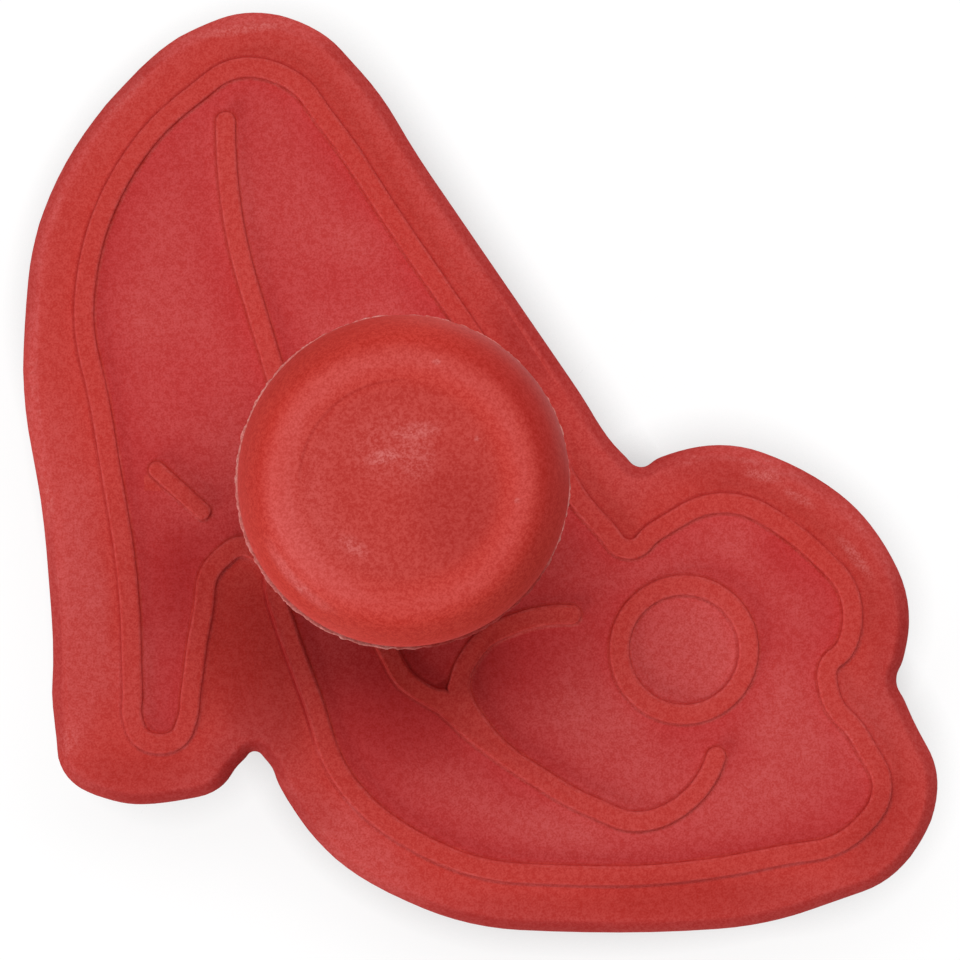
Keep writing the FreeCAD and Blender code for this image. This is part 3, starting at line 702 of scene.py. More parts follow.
@dataclass
class CutterBody:
    """Flange with the raised motif, spring seat and guide collar above and the cutting wall below."""

    plate_bottom: float = 12.0
    plate_top: float = 14.6
    rib_top: float = 15.1
    below_rib: float = 0.6
    above_rib: float = 0.1
    round_start: float = 13.5
    rim_power: float = 1.4
    rib_softening: float = 0.24
    foot_softening: float = 0.20
    edge_softening: float = 0.12
    grid: float = 1.25
    level_slack: float = 0.02
    flat_slack: float = 0.002
    raised_slack: float = 0.1
    rim_slack: float = 0.2
    point_gap: float = 0.12
    mark_depth: float = 1.0
    longest_edge: float = 0.7
    least_weight: float = 0.02
    level_face: float = 0.99
    steep_face: float = 0.5
    folded_face: float = -0.2
    divisions: int = 5
    heal_rounds: int = 3
    bright_way: tuple[float, float, float] = (-0.35, 0.94, 0.0)
    rib_rise: Ramp = (14.82, 14.98)
    rib_brow: Ramp = (15.06, 15.098)
    upper_side: Ramp = (13.0, 13.6)
    wall_gap: Ramp = (0.10, 0.34, 1.0, 0.0)
    # Painted shade at a raised line's foot, stronger on its bright side, and painted light on its far wall
    dark_side: Ramp = (-1.0, 1.0, 0.05, 0.60)
    light_side: Ramp = (-1.0, -0.1, 0.8, 0.0)
    rim_band: Ramp = (0.45, 1.15, 0.35)
    # Painted shade on the rim's outer rounding
    brink_gap: Ramp = (0.70, 1.15, 1.0, 0.0)
    field_film: Ramp = (0.3, 4.5, 0.25, 0.8)
    rib_film: Ramp = (0.25, 0.6)
    pale_share: Ramp = (1.0, 0.3)
    foot_scuff: Ramp = (0.2, 1.6, 0.8, 0.0)
    least_rub: float = 0.1
    pale_film: float = 0.8
    # Weight of the pale rub along the rim, partly a painted highlight
    rim_rub_and_highlight: float = 0.8
    # Weight of the highlight painted on the brows of the raised lines
    brow_highlight: float = 0.4
    brink_shade: float = 0.48
    rib_shade: float = 0.45
    rim_scuff: float = 0.7
    brow_scuff: float = 0.2
    nudges: tuple = (
        Nudge(-5.9, -16.6, (-0.46, -0.46), 1.6), Nudge(-1.95, -19.2, (-0.65, 1.19), 1.1),
        Nudge(29.4, -31.3, (0.0, 0.42), 3.0),
    )
    rim_nudges: tuple = (Nudge(9.7, 4.3, (0.27, 0.18), 2.2), Nudge(-33.9, -24.7, (-0.18, -0.18), 2.4))
    worn_marks: tuple = (
        Mark(-33.6, -22.0, 1.2, 1.8, 0.0, 0.2), Mark(23.1, -0.2, 2.4, 0.7, -15.0, 0.5),
        Mark(26.0, -2.0, 2.0, 0.6, -30.0, 0.4), Mark(30.6, -6.8, 3.0, 0.7, -52.0, 0.4),
        Mark(-20.0, 36.2, 6.0, 0.6, 8.0, 0.35),
    )
    piece: Piece = field(init=False)

    def build(self) -> None:
        """Softens the edges of a merged copy and measures it for its finish."""
        self.piece = merged_copy("cutter_body", "flange_and_cutting_wall")
        open_mesh(self.piece)
        self.ease_lines()
        self.ease_rim()
        rib_lines = self.line_points(lambda edge: self.at(edge, self.plate_top) and sharp(edge))
        rim_line = self.rim_points()
        self.slope_rim(point_tree(rim_line))
        self.soften_edges(lambda edge: self.at(edge, self.rib_top), self.rib_softening)
        self.soften_edges(lambda edge: self.at(edge, self.plate_top), self.foot_softening)
        self.soften_edges(self.off_ribs, self.edge_softening)
        self.heal()
        self.cut_grid()
        inside = self.inside_faces()
        close_mesh()
        self.measure("rib_gap", rib_lines, "rib_side")
        self.measure("edge_gap", rim_line)
        self.hold("inside", inside, "FACE")
        for name, marks in FLANGE_MARKS.items():
            self.hold(name, [self.strongest(marks, vert.co / MM) for vert in self.piece.data.vertices])
        settle(self.piece)
        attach(self.piece, Body.CUTTER.value)
        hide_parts("cutter_body")

    def ease_lines(self) -> None:
        """Divides the long edges near the nudges and pushes the raised lines there."""
        for _ in range(self.divisions):
            if choose(self.piece, Pick.EDGES, self.long_and_near):
                bpy.ops.mesh.subdivide(number_cuts=1)
        shape = bmesh.from_edit_mesh(self.piece.data)
        raised = (self.plate_top + self.raised_slack) * MM
        self.push([vert for vert in shape.verts if vert.co.z > raised
                   or any(edge.other_vert(vert).co.z > raised for edge in vert.link_edges)], self.nudges)

    def ease_rim(self) -> None:
        """Pushes the flange's edge, from its underside to the top of its rounding."""
        tree = point_tree(self.rim_points())
        reach = (self.plate_top - self.round_start + self.rim_slack) * MM
        shape = bmesh.from_edit_mesh(self.piece.data)
        self.push([vert for vert in shape.verts if vert.co.z > (self.plate_bottom - self.level_slack) * MM
                   and tree.find(flat(vert.co))[2] < reach], self.rim_nudges)

    def push(self, verts: list[bmesh.types.BMVert], nudges: Iterable[Nudge]) -> None:
        """Moves vertices of the open mesh by the nudges' pushes."""
        for vert in verts:
            pushes = (Vector((*nudge.push, 0.0)) * nudge.weight(vert.co) for nudge in nudges)
            vert.co += sum(pushes, Vector()) * MM
        bmesh.update_edit_mesh(self.piece.data)

    def long_and_near(self, edge: Edge) -> bool:
        """Says whether an edge of a raised line is long and close to a nudge."""
        middle = (edge.verts[0].co + edge.verts[1].co) / 2
        return (edge.calc_length() > self.longest_edge * MM
                and (self.at(edge, self.plate_top) or self.at(edge, self.rib_top))
                and any(abs(face.normal.z) < self.steep_face for face in edge.link_faces)
                and max(nudge.weight(middle) for nudge in self.nudges) > self.least_weight)

    def slope_rim(self, rim: kdtree.KDTree) -> None:
        """Flattens the rounding of the flange's upper edge towards a slope.

        Args:
            rim: Points along the foot of the rounding, laid flat.
        """
        reach = self.plate_top - self.round_start
        shape = bmesh.from_edit_mesh(self.piece.data)
        for vert in shape.verts:
            if self.round_start + self.level_slack < vert.co.z / MM < self.plate_top - self.flat_slack:
                gap = min(rim.find(flat(vert.co))[2] / MM / reach, 1.0)
                rise = (1 - (1 - gap) ** self.rim_power) ** (1 / self.rim_power)
                vert.co.z = (self.round_start + reach * rise) * MM
        bmesh.update_edit_mesh(self.piece.data)

    def soften_edges(self, test: Callable[[Edge], bool], width: float) -> None:
        """Bevels the sharp edges that pass a test."""
        choose(self.piece, Pick.EDGES, lambda edge: sharp(edge) and test(edge))
        bpy.ops.mesh.bevel(offset=width * MM, segments=3, affect="EDGES", clamp_overlap=False)

    def heal(self) -> None:
        """Closes the few small faces that a bevel folds over in a tight corner."""
        for _ in range(self.heal_rounds):
            folded = choose(self.piece, Pick.FACES, lambda face: face.normal.z < self.folded_face
                            and middle_height(face) > self.round_start)
            log.info("folded faces on the flange: %d", folded)
            if folded:
                bpy.ops.mesh.merge(type="COLLAPSE")

    def at(self, edge: Edge, level: float) -> bool:
        """Says whether both ends of an edge are at a level."""
        return all(abs(vert.co.z / MM - level) < self.level_slack for vert in edge.verts)

    def off_ribs(self, edge: Edge) -> bool:
        """Says whether an edge lies above or below the raised lines."""
        return not self.rib_top - self.below_rib < middle_height(edge) < self.rib_top + self.above_rib

    def on_field(self, face: Face) -> bool:
        """Says whether a face lies flat on the flange's upper side."""
        return face.normal.z > self.level_face and abs(middle_height(face) - self.plate_top) < self.level_slack

    def rim_points(self) -> list[Vector]:
        """Points along the foot of the rounding of the flange's upper edge, laid flat."""
        return self.line_points(lambda edge: self.at(edge, self.round_start))

    def line_points(self, test: Callable[[Edge], bool]) -> list[Vector]:
        """Points close together along the edges that pass a test, laid flat."""
        shape = bmesh.from_edit_mesh(self.piece.data)
        points = []
        for edge in filter(test, shape.edges):
            start, end = (vert.co.copy() for vert in edge.verts)
            count = max(2, math.ceil(edge.calc_length() / (self.point_gap * MM)))
            points += [flat(start.lerp(end, step / count)) for step in range(count)]
        return points

    def cut_grid(self) -> None:
        """Cuts the open fields into small faces, so that they can hold measures."""
        low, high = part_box("cutter_body")
        for axis in (0, 1):
            direction = tuple(float(axis == k) for k in range(3))
            for number in range(1, math.ceil((high[axis] - low[axis]) / (self.grid * MM))):
                place = [0.0, 0.0, 0.0]
                place[axis] = low[axis] + number * self.grid * MM
                choose(self.piece, Pick.FACES, self.on_field)
                bpy.ops.mesh.bisect(plane_co=place, plane_no=direction)

    def inside_faces(self) -> list[float]:
        """One for each face of a field that the motif's outer line closes in, and zero for the rest."""
        shape = bmesh.from_edit_mesh(self.piece.data)
        shape.faces.ensure_lookup_table()
        fields = {face.index for face in shape.faces if self.on_field(face)}
        brink = self.plate_top - self.flat_slack
        nearby = {index: [near for edge in shape.faces[index].edges for near in edge.link_faces] for index in fields}
        border, waiting = set(), [index for index in fields if any(
            near.normal.z > self.steep_face and middle_height(near) < brink for near in nearby[index])]
        while waiting:
            index = waiting.pop()
            if index not in border:
                border.add(index)
                waiting += [near.index for near in nearby[index] if near.index in fields]
        return [float(face.index in fields and face.index not in border) for face in shape.faces]

    def measure(self, name: str, points: list[Vector], side_name: str = "") -> None:
        """Stores each vertex's flat distance to the nearest of the points.

        Args:
            name: Attribute that takes the distance, in millimetres.
            points: Points along the lines, laid flat.
            side_name: Attribute that takes how far the vertex lies on the bright side of its line, from -1 to 1.
        """
        tree = point_tree(points)
        gaps, sides = [], []
        for vert in self.piece.data.vertices:
            near, _, gap = tree.find(flat(vert.co))
            gaps.append(gap / MM)
            sides.append((flat(vert.co) - near).normalized().dot(self.bright_way))
        self.hold(name, gaps)
        if side_name:
            self.hold(side_name, sides)

    def strongest(self, marks: Iterable[Mark], spot: Vector) -> float:
        """The strongest of several marks at a spot in millimetres, zero below the flange's upper side."""
        on_top = spot.z > self.round_start - self.mark_depth
        return max(mark.at(spot.x, spot.y) for mark in marks) if on_top else 0.0

    def hold(self, name: str, values: list[float], domain: str = "POINT") -> None:
        """Stores a number for each vertex or face."""
        self.piece.data.attributes.new(name, "FLOAT", domain).data.foreach_set("value", values)

    def dress(self) -> None:
        """Gives the flange its finish."""
        dress(self.piece, RedPlastic("flange_plastic").material(self.masks), Slot.CUTTER)

    def masks(self, net: Net, place: Socket) -> Masks:
        """Where the flange is grained, filmed and rubbed, and where light and shade are painted on it."""
        height = net.height(place)
        rib_gap, edge_gap = net.attribute("rib_gap"), net.attribute("edge_gap")
        side, shade = net.attribute("rib_side"), net.attribute("shaded")
        rib = net.step(height, *self.rib_rise)
        above = net.step(height, *self.upper_side)
        wall = net.times(net.without(net.step(rib_gap, *self.wall_gap), rib), above)
        # Painted shade at the foot of the raised lines, and painted light on their walls turned from the light
        painted_shade = net.times(wall, net.step(side, *self.dark_side))
        painted_wall_light = net.times(wall, net.step(side, *self.light_side))
        brow = net.without(rib, net.step(height, *self.rib_brow))
        rub_and_highlight = net.together(net.attribute("rub_and_highlight"), self.least_rub)
        # Pale rub along the rim, partly a painted highlight
        rim = net.times(net.band(edge_gap, *self.rim_band), above, rub_and_highlight)
        # Painted shade on the rim's outer rounding, kept off the rubbed parts
        brink = net.without(net.times(net.step(edge_gap, *self.brink_gap), above), rub_and_highlight)
        film = net.span(rib, net.step(rib_gap, *self.field_film), net.span(shade, *self.rib_film))
        # Film taken away, which under the knob paints its shadow
        film = net.without(film, net.attribute("no_film_and_painted_shade"))
        pale = net.times(net.attribute("pale"), net.span(rib, *self.pale_share), self.pale_film)
        # Painted shade, and painted shadow on the raised lines in the knob's shadow
        dark_tone_and_painted_shade = net.times(net.attribute("dark_tone_and_painted_shade"), above)
        shaded = net.times(net.together(brow, wall), shade)
        # Painted highlight on the brows outside the knob's shadow
        lit_brow = net.times(net.without(brow, shaded), self.brow_highlight)
        foot = net.step(height, *self.foot_scuff)
        return Masks(
            ground=net.attribute("inside"),
            bloom_and_painted_light=net.together(film, pale, net.times(rim, self.rim_rub_and_highlight), lit_brow, painted_wall_light),
            painted_shade=net.together(painted_shade, net.times(brink, self.brink_shade), dark_tone_and_painted_shade, net.times(shaded, self.rib_shade)),
            edge=net.together(net.times(rim, self.rim_scuff), net.times(brow, self.brow_scuff), foot),
            wear_and_sheen=net.times(net.spots(place, self.worn_marks), above),
        )


@dataclass
class Knob:
    """Round press knob in two halves, with the flash of its joint. A profile lists radius and height."""

    axis: tuple[float, float] = PLUNGER_AXIS
    cap_shift: tuple[float, float] = (0.08, 0.10)
    radius: float = 13.0
    joint: float = 31.7
    cap_height: float = 5.9
    tear_scale: float = 22.0
    tear_fractal: tuple[float, float, int] = (0.7, 2.0, 4)
    tear_mean: float = 0.07
    tear_spread: float = 0.14
    tear_limit: float = 0.25
    softening: float = 0.12
    steps: int = 144
    fin_steps: int = 432
    curve_steps: int = 4
    dome_shares: tuple = (
        (1.0, 0.0), (0.98, 0.32), (0.935, 0.62), (0.875, 0.83), (0.83, 0.92), (0.77, 0.98), (0.70, 0.9993),
        (0.645, 0.995), (0.605, 0.987), (0.565, 0.981), (0.50, 0.978), (0.30, 0.979), (0.0, 0.98),
    )
    cavity: tuple = ((0.0, 35.25), (5.3, 35.25), (10.6, 33.4), (10.6, 31.7))
    flare: tuple = ((13.0, 31.4), (12.52, 29.65), (11.05, 28.04), (9.40, 26.80), (8.66, 25.05), (8.14, 24.1))
    bore: tuple = (
        (6.86, 24.1), (6.86, 30.1), (4.95, 30.1), (4.95, 25.4), (3.55, 25.4), (3.55, 28.0), (1.12, 28.0),
        (1.12, 34.15), (0.0, 34.15), (0.0, 34.75), (3.0, 34.75), (3.0, 31.7), (9.35, 31.7), (9.35, 33.2),
        (10.55, 33.2), (10.55, 31.7), (13.0, 31.7),
    )
    fin: tuple = ((12.65, 31.4), (13.06, 31.4), (13.2, 31.52), (13.18, 31.66), (13.08, 31.74), (12.65, 31.74))
    fin_root: float = 12.9
    # A sheen painted on the disc with the gate's flow mark, and a few pale flecks
    disc_sheen_and_flecks: tuple = (
        Mark(-7.4, 1.2, 2.2, 0.9, 10.0), Mark(-5.1, 3.1, 2.8, 1.1, 8.0, 0.8), Mark(-5.1, 1.3, 2.4, 2.8, 0.0, 0.5),
        Mark(-9.8, -5.7, 1.8, 0.9, 150.0, 0.6), Mark(-7.0, 1.8, 4.5, 4.0, 0.0, 0.25),
        Mark(-0.3, 2.6, 0.3, 0.3), Mark(-3.4, 8.5, 0.5, 0.3), Mark(2.8, -2.2, 0.4, 0.3),
    )
    # Painted shade on the flank, strongest on the right
    painted_flank_shade_marks: tuple = (
        Mark(6.4, 4.2, 18.5, 18.5, 0.0, 0.56, 0.10), Mark(-11.6, 11.0, 16.0, 16.0, 0.0, 0.18, 0.10),
        Mark(-19.1, 0.4, 10.0, 10.0, 0.0, 0.22, 0.10),
    )
    # Painted light from the left
    painted_light_side: Mark = Mark(-15.0, -3.5, 12.0, 12.0, 0.0, 1.0, 0.2)
    # Painted shade on the disc's lower right
    painted_disc_shade: Mark = Mark(-1.6, -3.2, 5.5, 7.0, 20.0, 0.28)
    # Painted shade along the disc's edge at the upper left
    line_side: Mark = Mark(-11.3, 5.2, 9.0, 5.0, 45.0, 1.0, 0.5)
    streak_place: Mark = Mark(-14.5, -8.3, 5.0, 3.0, 312.0)
    flash_place: Mark = Mark(-15.3, -6.5, 9.0, 9.0, 0.0, 1.0, 0.5)
    shaded_flash: Mark = Mark(0.8, -11.8, 9.0, 6.0, 38.0, 0.8, 0.5)
    # The crest is paler, and paler still on the left, where its film is partly painted light
    crest_band: Ramp = (8.5, 10.4, 1.0)
    crest_film_and_painted_light: Ramp = (0.70, 1.4)
    crest_polish: float = 0.2
    disc_edge: Ramp = (6.8, 9.0, 1.0, 0.0)
    disc_film: float = 0.10
    disc_sheen_and_fleck_share: float = 0.6
    # Painted light on the left of the shoulder inside the crest
    shoulder_band: Ramp = (5.8, 8.4, 1.0)
    shoulder_light_share: float = 0.35
    flank_edge: Ramp = (9.8, 11.2)
    # A pale band along the joint, a painted sheen
    seam_edge: Ramp = (12.0, 12.9)
    seam_rise: Ramp = (31.0, 35.5, 1.0, 0.3)
    seam_sheen_share: float = 0.6
    streak_band: Ramp = (10.9, 11.6, 0.25)
    foot_rise: Ramp = (31.8, 33.4, 1.0, 0.0)
    foot_sides: Ramp = (0.3, 1.0)
    line_band: Ramp = (7.78, 7.93, 0.16)
    line_shade: float = 0.45
    skirt_grain: float = 0.6
    skirt_film: Ramp = (25.0, 30.5, 0.2, 0.8)
    skirt_scuff: Ramp = (24.2, 25.2, 0.7, 0.0)
    flash_film: float = 0.8
    flash_wear: float = 0.5
    cap: Piece = field(init=False)
    skirt: Piece = field(init=False)
    flash: Piece = field(init=False)

    def build(self) -> None:
        """Models both halves and the flash."""
        dome = [(across * self.radius, self.joint + up * self.cap_height) for across, up in self.dome_shares]
        middle = (self.axis[0] + self.cap_shift[0], self.axis[1] + self.cap_shift[1])
        self.cap = turned("knob_crown", middle, rounded(dome, self.curve_steps) + list(self.cavity), self.steps)
        flare = rounded(list(self.flare), self.curve_steps)
        self.skirt = turned("knob_skirt", self.axis, flare + list(self.bore), self.steps)
        soften(self.skirt, self.softening)
        self.build_flash()
        for piece in (self.cap, self.skirt, self.flash):
            settle(piece)
            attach(piece, Body.PLUNGER.value)
        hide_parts("knob_cap")
        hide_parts("knob_base")

    def build_flash(self) -> None:
        """Turns the thin fin that the mould's joint leaves, and tears its edge."""
        self.flash = turned("knob_flash", self.axis, list(self.fin), self.fin_steps)
        centre = Vector((*self.axis, 0.0)) * MM
        for vert in self.flash.data.vertices:
            away = flat(vert.co - centre)
            if away.length > self.fin_root * MM:
                turn = away.normalized()
                torn = noise.fractal(turn * self.tear_scale + Vector((0.0, 0.0, vert.co.z / MM)), *self.tear_fractal)
                vert.co -= turn * min(max(self.tear_mean + self.tear_spread * torn, 0.0), self.tear_limit) * MM

    def dress(self) -> None:
        """Gives the knob its finishes."""
        plastic = RedPlastic("knob_plastic", body=(0.560, 0.0410, 0.0285, 1.0), ground=(0.525, 0.0505, 0.0405, 1.0),
                             bloom_and_painted_light=(0.655, 0.1000, 0.0900, 1.0), pit=(0.90, 0.67, 0.64, 1.0),
                             peak=(1.10, 1.33, 1.36, 1.0))
        dress(self.cap, plastic.material(self.cap_masks), Slot.KNOB)
        dress(self.skirt, replace(plastic, name="skirt_plastic").material(self.skirt_masks), Slot.KNOB)
        torn = replace(plastic, name="torn_flash", body=(0.540, 0.110, 0.095, 1.0), bloom_and_painted_light=(0.700, 0.300, 0.270, 1.0),
                       bloom_scale=380.0)
        dress(self.flash, torn.material(self.flash_masks), Slot.KNOB)

    def cap_masks(self, net: Net, place: Socket) -> Masks:
        """Where the crown is grained, filmed and rubbed, and where light, sheen and shade are painted on it."""
        reach, height = net.reach(place, *self.axis), net.height(place)
        left, lower_left = net.spot(place, self.painted_light_side), net.spot(place, self.flash_place)
        # Paler crest, paler still on the left as painted light
        crest = net.times(net.band(reach, *self.crest_band), net.span(left, *self.crest_film_and_painted_light))
        disc = net.step(reach, *self.disc_edge)
        # Painted light on the shoulder's left side
        shoulder_painted_light = net.times(net.band(reach, *self.shoulder_band), left, self.shoulder_light_share)
        flank = net.step(reach, *self.flank_edge)
        # Painted sheen along the joint
        seam_sheen = net.times(net.step(reach, *self.seam_edge), net.step(height, *self.seam_rise), self.seam_sheen_share)
        streak = net.times(net.band(reach, *self.streak_band), net.spot(place, self.streak_place))
        foot = net.times(net.step(height, *self.foot_rise), net.span(lower_left, *self.foot_sides))
        # Painted shade along the disc's edge at the upper left
        line = net.times(net.band(reach, *self.line_band), net.spot(place, self.line_side), self.line_shade)
        # Painted shade on the flank, strongest on the right
        painted_flank_shade = net.times(net.spots(place, self.painted_flank_shade_marks), flank)
        # Painted shade on the disc's lower right
        dark_tone_and_painted_shade = net.times(net.spot(place, self.painted_disc_shade), disc)
        return Masks(
            ground=disc,
            grain=net.without(1.0, net.times(crest, self.crest_polish)),
            bloom_and_painted_light=net.together(crest, shoulder_painted_light, net.times(disc, self.disc_film), seam_sheen, streak),
            painted_shade=net.together(line, painted_flank_shade, dark_tone_and_painted_shade),
            edge=net.together(streak, foot),
            # The disc's painted sheen and pale flecks
            wear_and_sheen=net.times(net.spots(place, self.disc_sheen_and_flecks), self.disc_sheen_and_fleck_share),
        )

    def skirt_masks(self, net: Net, place: Socket) -> Masks:
        """Where the lower half is grained, filmed and rubbed."""
        height = net.height(place)
        return Masks(grain=self.skirt_grain, bloom_and_painted_light=net.step(height, *self.skirt_film),
                     edge=net.step(height, *self.skirt_scuff))

    def flash_masks(self, net: Net, place: Socket) -> Masks:
        """Where the flash is torn pale."""
        left, shaded = net.spot(place, self.flash_place), net.spot(place, self.shaded_flash)
        return Masks(bloom_and_painted_light=net.without(self.flash_film, shaded), painted_shade=shaded, edge=net.without(1.0, shaded),
                     wear_and_sheen=net.times(left, self.flash_wear))


@dataclass
class Spring:
    """Compression spring of round wire between the seat and the knob."""

    axis: tuple[float, float] = PLUNGER_AXIS
    wire: float = 0.8
    coil: float = 5.96
    seat: float = 15.4
    first: float = 15.92
    closed_pitch: float = 1.35
    open_pitch: float = 2.74
    open_turns: int = 4
    sides: int = 14
    steps: int = 44
    smooth_angle: float = 50.0
    keep: float = 0.456
    piece: Piece = field(init=False)

    def build(self) -> None:
        """Winds the closed and open turns, joins them and closes the ends."""
        runs, level = [], self.first
        for pitch, turns in ((self.closed_pitch, 1), (self.open_pitch, self.open_turns), (self.closed_pitch, 1)):
            runs.append(self.wind(level, pitch, turns))
            level += pitch * turns
        take(runs[0])
        for run in runs[1:]:
            run.select_set(True)
        bpy.ops.object.join()
        self.piece = bpy.context.object
        self.piece.name = self.piece.data.name = "return_coil"
        open_mesh(self.piece)
        choose_all()
        bpy.ops.mesh.remove_doubles(threshold=MERGE_REACH)
        for side, end in ((-1.0, self.first), (1.0, level)):
            choose(self.piece, Pick.EDGES, lambda edge: len(edge.link_faces) == 1
                   and abs(middle_height(edge) - end) < self.wire)
            bpy.ops.mesh.extrude_region_move(TRANSFORM_OT_translate={"value": (0.0, side * self.wire * MM, 0.0)})
            bpy.ops.mesh.edge_face_add()
        close_outwards()
        settle(self.piece, self.smooth_angle)
        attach(self.piece, Body.CUTTER.value)
        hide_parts("return_spring")
        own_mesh(self.piece)

    def wind(self, level: float, pitch: float, turns: int) -> Piece:
        """Some turns of wire at one pitch.

        Args:
            level: Height of the wire's centre at the start, in millimetres.
            pitch: Rise of each turn, in millimetres.
            turns: How many turns.

        Returns:
            The turns, open at both ends, at the origin.
        """
        drop_all()
        bpy.ops.mesh.primitive_circle_add(
            vertices=self.sides, radius=self.wire / 2 * MM, location=(self.coil * MM, 0.0, level * MM),
            rotation=(math.pi / 2, 0.0, 0.0),
        )
        run = bpy.context.object
        bpy.ops.object.transform_apply(location=True, rotation=True, scale=True)
        bpy.ops.object.modifier_add(type="SCREW")
        screw = run.modifiers[-1]
        screw.steps = screw.render_steps = self.steps
        screw.iterations, screw.screw_offset = turns, pitch * MM
        bpy.ops.object.modifier_apply(modifier=screw.name)
        run.location = Vector((*self.axis, 0.0)) * MM
        bpy.ops.object.transform_apply(location=True, rotation=True, scale=True)
        return run

    def dress(self) -> None:
        """Gives the wire its finish."""
        dress(self.piece, Steel("spring_wire").material(), Slot.SPRING)


@dataclass
class Ejector:
    """Pressing plate with its ridges and stem, the plug of its counterbore and the screw above that."""

    softening: float = 0.12
    dimple: tuple = ((0.0, 0.22), (0.45, 0.20), (0.62, 0.03), (0.72, 0.0))
    plug_foot: tuple = ((0.16, 0.0), (0.04, 0.05), (0.0, 0.16))
    plug_brow: float = 0.10
    plug_steps: int = 64
    grain: float = 0.7
    film: Ramp = (8.5, 9.5, 0.2, 0.9)
    ridge_scuff: Ramp = (8.35, 8.7, 0.5, 0.0)
    piece: Piece = field(init=False)
    plug: Piece = field(init=False)

    def build(self) -> None:
        """Softens a merged copy of the plate and turns the plug."""
        self.piece = merged_copy("ejector_plate", "embossing_ejector")
        open_mesh(self.piece)
        choose(self.piece, Pick.EDGES, sharp)
        bpy.ops.mesh.bevel(offset=self.softening * MM, segments=2, affect="EDGES", clamp_overlap=False)
        close_mesh()
        self.build_plug()
        for piece, node in ((self.piece, "ejector_plate"), (self.plug, "screw_plug")):
            settle(piece)
            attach(piece, Body.PLUNGER.value)
            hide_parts(node)

    def build_plug(self) -> None:
        """Turns the plug with an eased edge and a shallow gate dimple below."""
        low, high = (Vector(corner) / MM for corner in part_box("screw_plug"))
        axis = ((low.x + high.x) / 2, (low.y + high.y) / 2)
        radius, foot, top = (high.x - low.x) / 2, low.z, high.z
        face = [(across, foot + up) for across, up in self.dimple]
        side = [(radius - inward, foot + up) for inward, up in self.plug_foot]
        back = [(radius, top - self.plug_brow), (radius - self.plug_brow, top), (0.0, top)]
        self.plug = turned("counterbore_plug", axis, face + side + back, self.plug_steps)

    def dress(self) -> None:
        """Gives the plate and plug their plastic and the screw its steel."""
        plastic = RedPlastic("ejector_plastic", body=(0.500, 0.0360, 0.0310, 1.0))
        dress(self.piece, plastic.material(self.masks), Slot.EJECTOR)
        dress(self.plug, replace(plastic, name="plug_plastic").material(self.masks), Slot.EJECTOR)
        screw = Steel("screw_zinc", bright=(0.56, 0.57, 0.59, 1.0), dark_tone_and_painted_shade=(0.36, 0.37, 0.40, 1.0), roughness=0.36)
        dress(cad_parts["retaining_screw"], screw.material(), Slot.SCREW)

    def masks(self, net: Net, place: Socket) -> Masks:
        """Where the plate is grained, filmed and rubbed."""
        height = net.height(place)
        return Masks(grain=self.grain, bloom_and_painted_light=net.step(height, *self.film),
                     edge=net.step(height, *self.ridge_scuff))


# The stage


@dataclass(frozen=True)
class Lamp:
    """A rectangular lamp: direction from +X and rise in degrees, width and height in metres, power in watts."""

    name: str
    turn: float
    rise: float
    size: tuple[float, float]
    power: float

    def hang(self, aim: Vector, reach: float) -> None:
        """Hangs the lamp so that it faces a place.

        Args:
            aim: The place that it faces, in millimetres.
            reach: Its distance from there, in millimetres.
        """
        data = bpy.data.lights.new(self.name, "AREA")
        data.shape, data.energy = "RECTANGLE", self.power
        data.size, data.size_y = self.size
        lamp = bpy.data.objects.new(self.name, data)
        turn, rise = math.radians(self.turn), math.radians(self.rise)
        out = Vector((math.cos(turn) * math.cos(rise), math.sin(turn) * math.cos(rise), math.sin(rise)))
        lamp.location = (aim + out * reach) * MM
        lamp.rotation_euler = out.to_track_quat("Z", "Y").to_euler()
        bpy.context.scene.collection.objects.link(lamp)


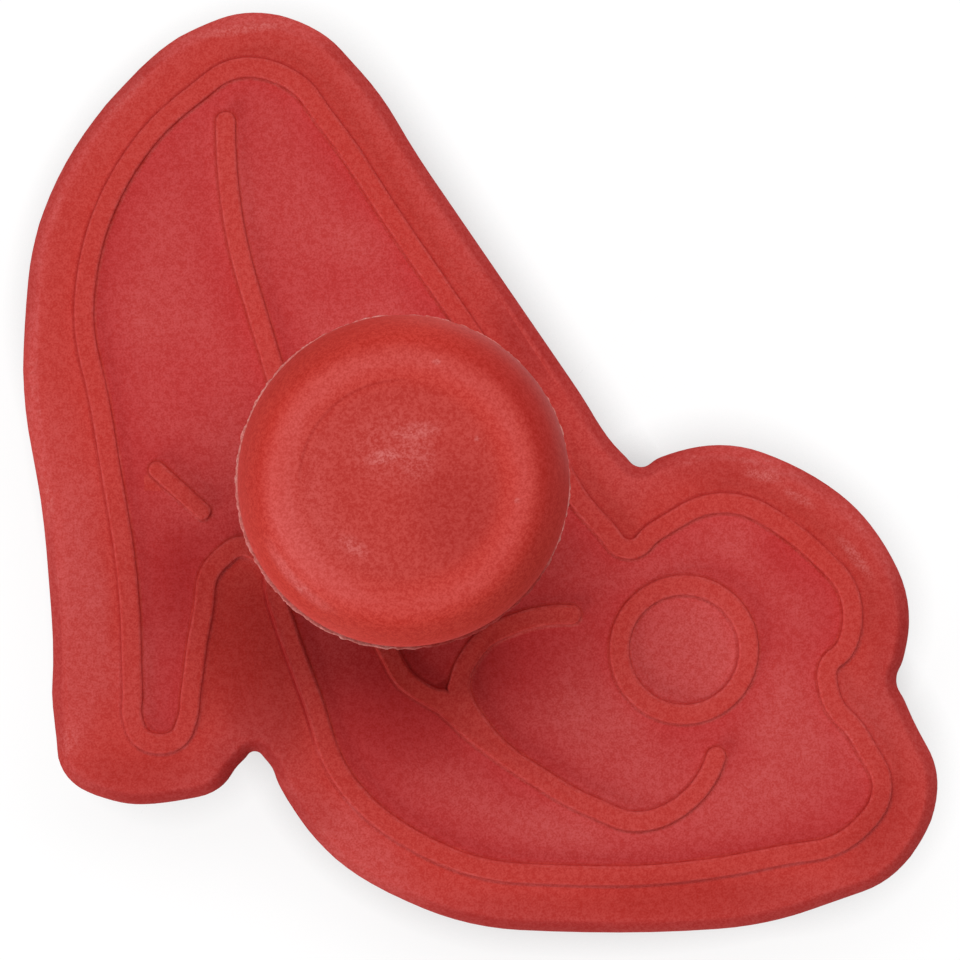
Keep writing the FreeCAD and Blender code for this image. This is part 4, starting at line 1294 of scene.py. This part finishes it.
@dataclass
class Studio:
    """Camera over the plate, pale floor and soft light."""

    eye: tuple[float, float, float] = (-0.04, -0.61, 411.0)
    view_width: float = 78.5
    view_level: float = 14.9
    floor_size: float = 3.0
    floor_white: float = 0.90
    floor_shade: float = 0.13
    contact_reach: float = 8.0
    contact_samples: int = 16
    contact_depth: float = 1.5
    floor_bounce: float = 0.80
    cavity_reach: float = 90.0
    cavity_samples: int = 8
    cavity_glow: Ramp = (0.01, 0.08, 0.5, 0.0)
    ambient: float = 0.12
    lamp_reach: float = 900.0
    lamp_aim: tuple[float, float, float] = (-6.1, -0.8, 15.0)
    lamps: tuple[Lamp, ...] = (
        Lamp("key_softbox", 82.0, 63.5, (1.3, 0.5), 8.6),
        Lamp("fill_softbox", 228.0, 12.0, (0.5, 0.3), 4.6),
        Lamp("side_softbox", 315.0, 5.0, (0.5, 0.1), 0.8),
    )

    def build(self) -> None:
        """Sets the camera, the floor, the lights and the world."""
        scene = bpy.context.scene
        scene.view_settings.view_transform = "Standard"
        data = bpy.data.cameras.new("camera")
        data.lens = data.sensor_width * (self.eye[2] - self.view_level) / self.view_width
        camera = bpy.data.objects.new("camera", data)
        camera.location = Vector(self.eye) * MM
        scene.collection.objects.link(camera)
        scene.camera = camera
        drop_all()
        bpy.ops.mesh.primitive_plane_add(size=self.floor_size)
        floor = bpy.context.object
        floor.name = "floor"
        floor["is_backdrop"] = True
        floor.data.materials.append(self.floor_material())
        for lamp in self.lamps:
            lamp.hang(Vector(self.lamp_aim), self.lamp_reach)
        self.light_world()

    def seen(self, net: Net) -> Socket:
        """One for a ray that sees the surroundings directly, in a mirror or through glass."""
        ray = net.add("ShaderNodeLightPath").outputs
        return net.together(ray["Is Camera Ray"], ray["Is Glossy Ray"], ray["Is Transmission Ray"])

    def light_world(self) -> None:
        """White surroundings to the eye and a low even light on the object."""
        world = bpy.data.worlds.new("studio")
        bpy.context.scene.world = world
        world.use_nodes = True
        net = Net(world.node_tree)
        back = world.node_tree.nodes["Background"]
        back.inputs["Color"].default_value = (1.0, 1.0, 1.0, 1.0)
        net.feed(back.inputs["Strength"], net.span(self.seen(net), self.ambient, 1.0))

    def floor_material(self) -> bpy.types.Material:
        """Pale floor, white to the eye round a contact shadow, that lights a closed space and is clear from below."""
        material = bpy.data.materials.new("floor_white")
        material.use_nodes = True
        material.node_tree.nodes.clear()
        net = Net(material.node_tree)
        contact, closed = (self.contact_reach, self.contact_samples), (self.cavity_reach, self.cavity_samples)
        sky, cavity = (
            net.add("ShaderNodeAmbientOcclusion", {"Distance": reach * MM}, samples=samples).outputs["AO"]
            for reach, samples in (contact, closed)
        )
        glow = net.span(sky, self.floor_white * (1.0 - self.contact_depth), self.floor_white)
        white, inner = (
            net.add("ShaderNodeEmission", {"Strength": strength}).outputs[0]
            for strength in (glow, net.step(cavity, *self.cavity_glow))
        )
        shade, bounce = (
            net.add("ShaderNodeBsdfDiffuse", {"Color": (grey, grey, grey, 1.0)}).outputs[0]
            for grey in (self.floor_shade, self.floor_bounce)
        )
        bounce = net.add("ShaderNodeAddShader", {0: bounce, 1: inner}).outputs[0]
        shown = net.add("ShaderNodeAddShader", {0: white, 1: shade}).outputs[0]
        top = net.add("ShaderNodeMixShader", {0: self.seen(net), 1: bounce, 2: shown}).outputs[0]
        under = net.add("ShaderNodeNewGeometry").outputs["Backfacing"]
        clear = net.add("ShaderNodeBsdfTransparent").outputs[0]
        both = net.add("ShaderNodeMixShader", {0: under, 1: top, 2: clear}).outputs[0]
        net.add("ShaderNodeOutputMaterial", {"Surface": both})
        return material


def main() -> None:
    """Builds and dresses the sub-assemblies in order."""
    logging.basicConfig(level=logging.INFO, format="%(message)s")
    for part in (CutterBody(), Knob(), Spring(), Ejector()):
        part.build()
        part.dress()
    Studio().build()
    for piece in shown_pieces():
        log.info("%s: %d faces", piece.name, len(piece.data.polygons))


if __name__ == "__main__":
    main()
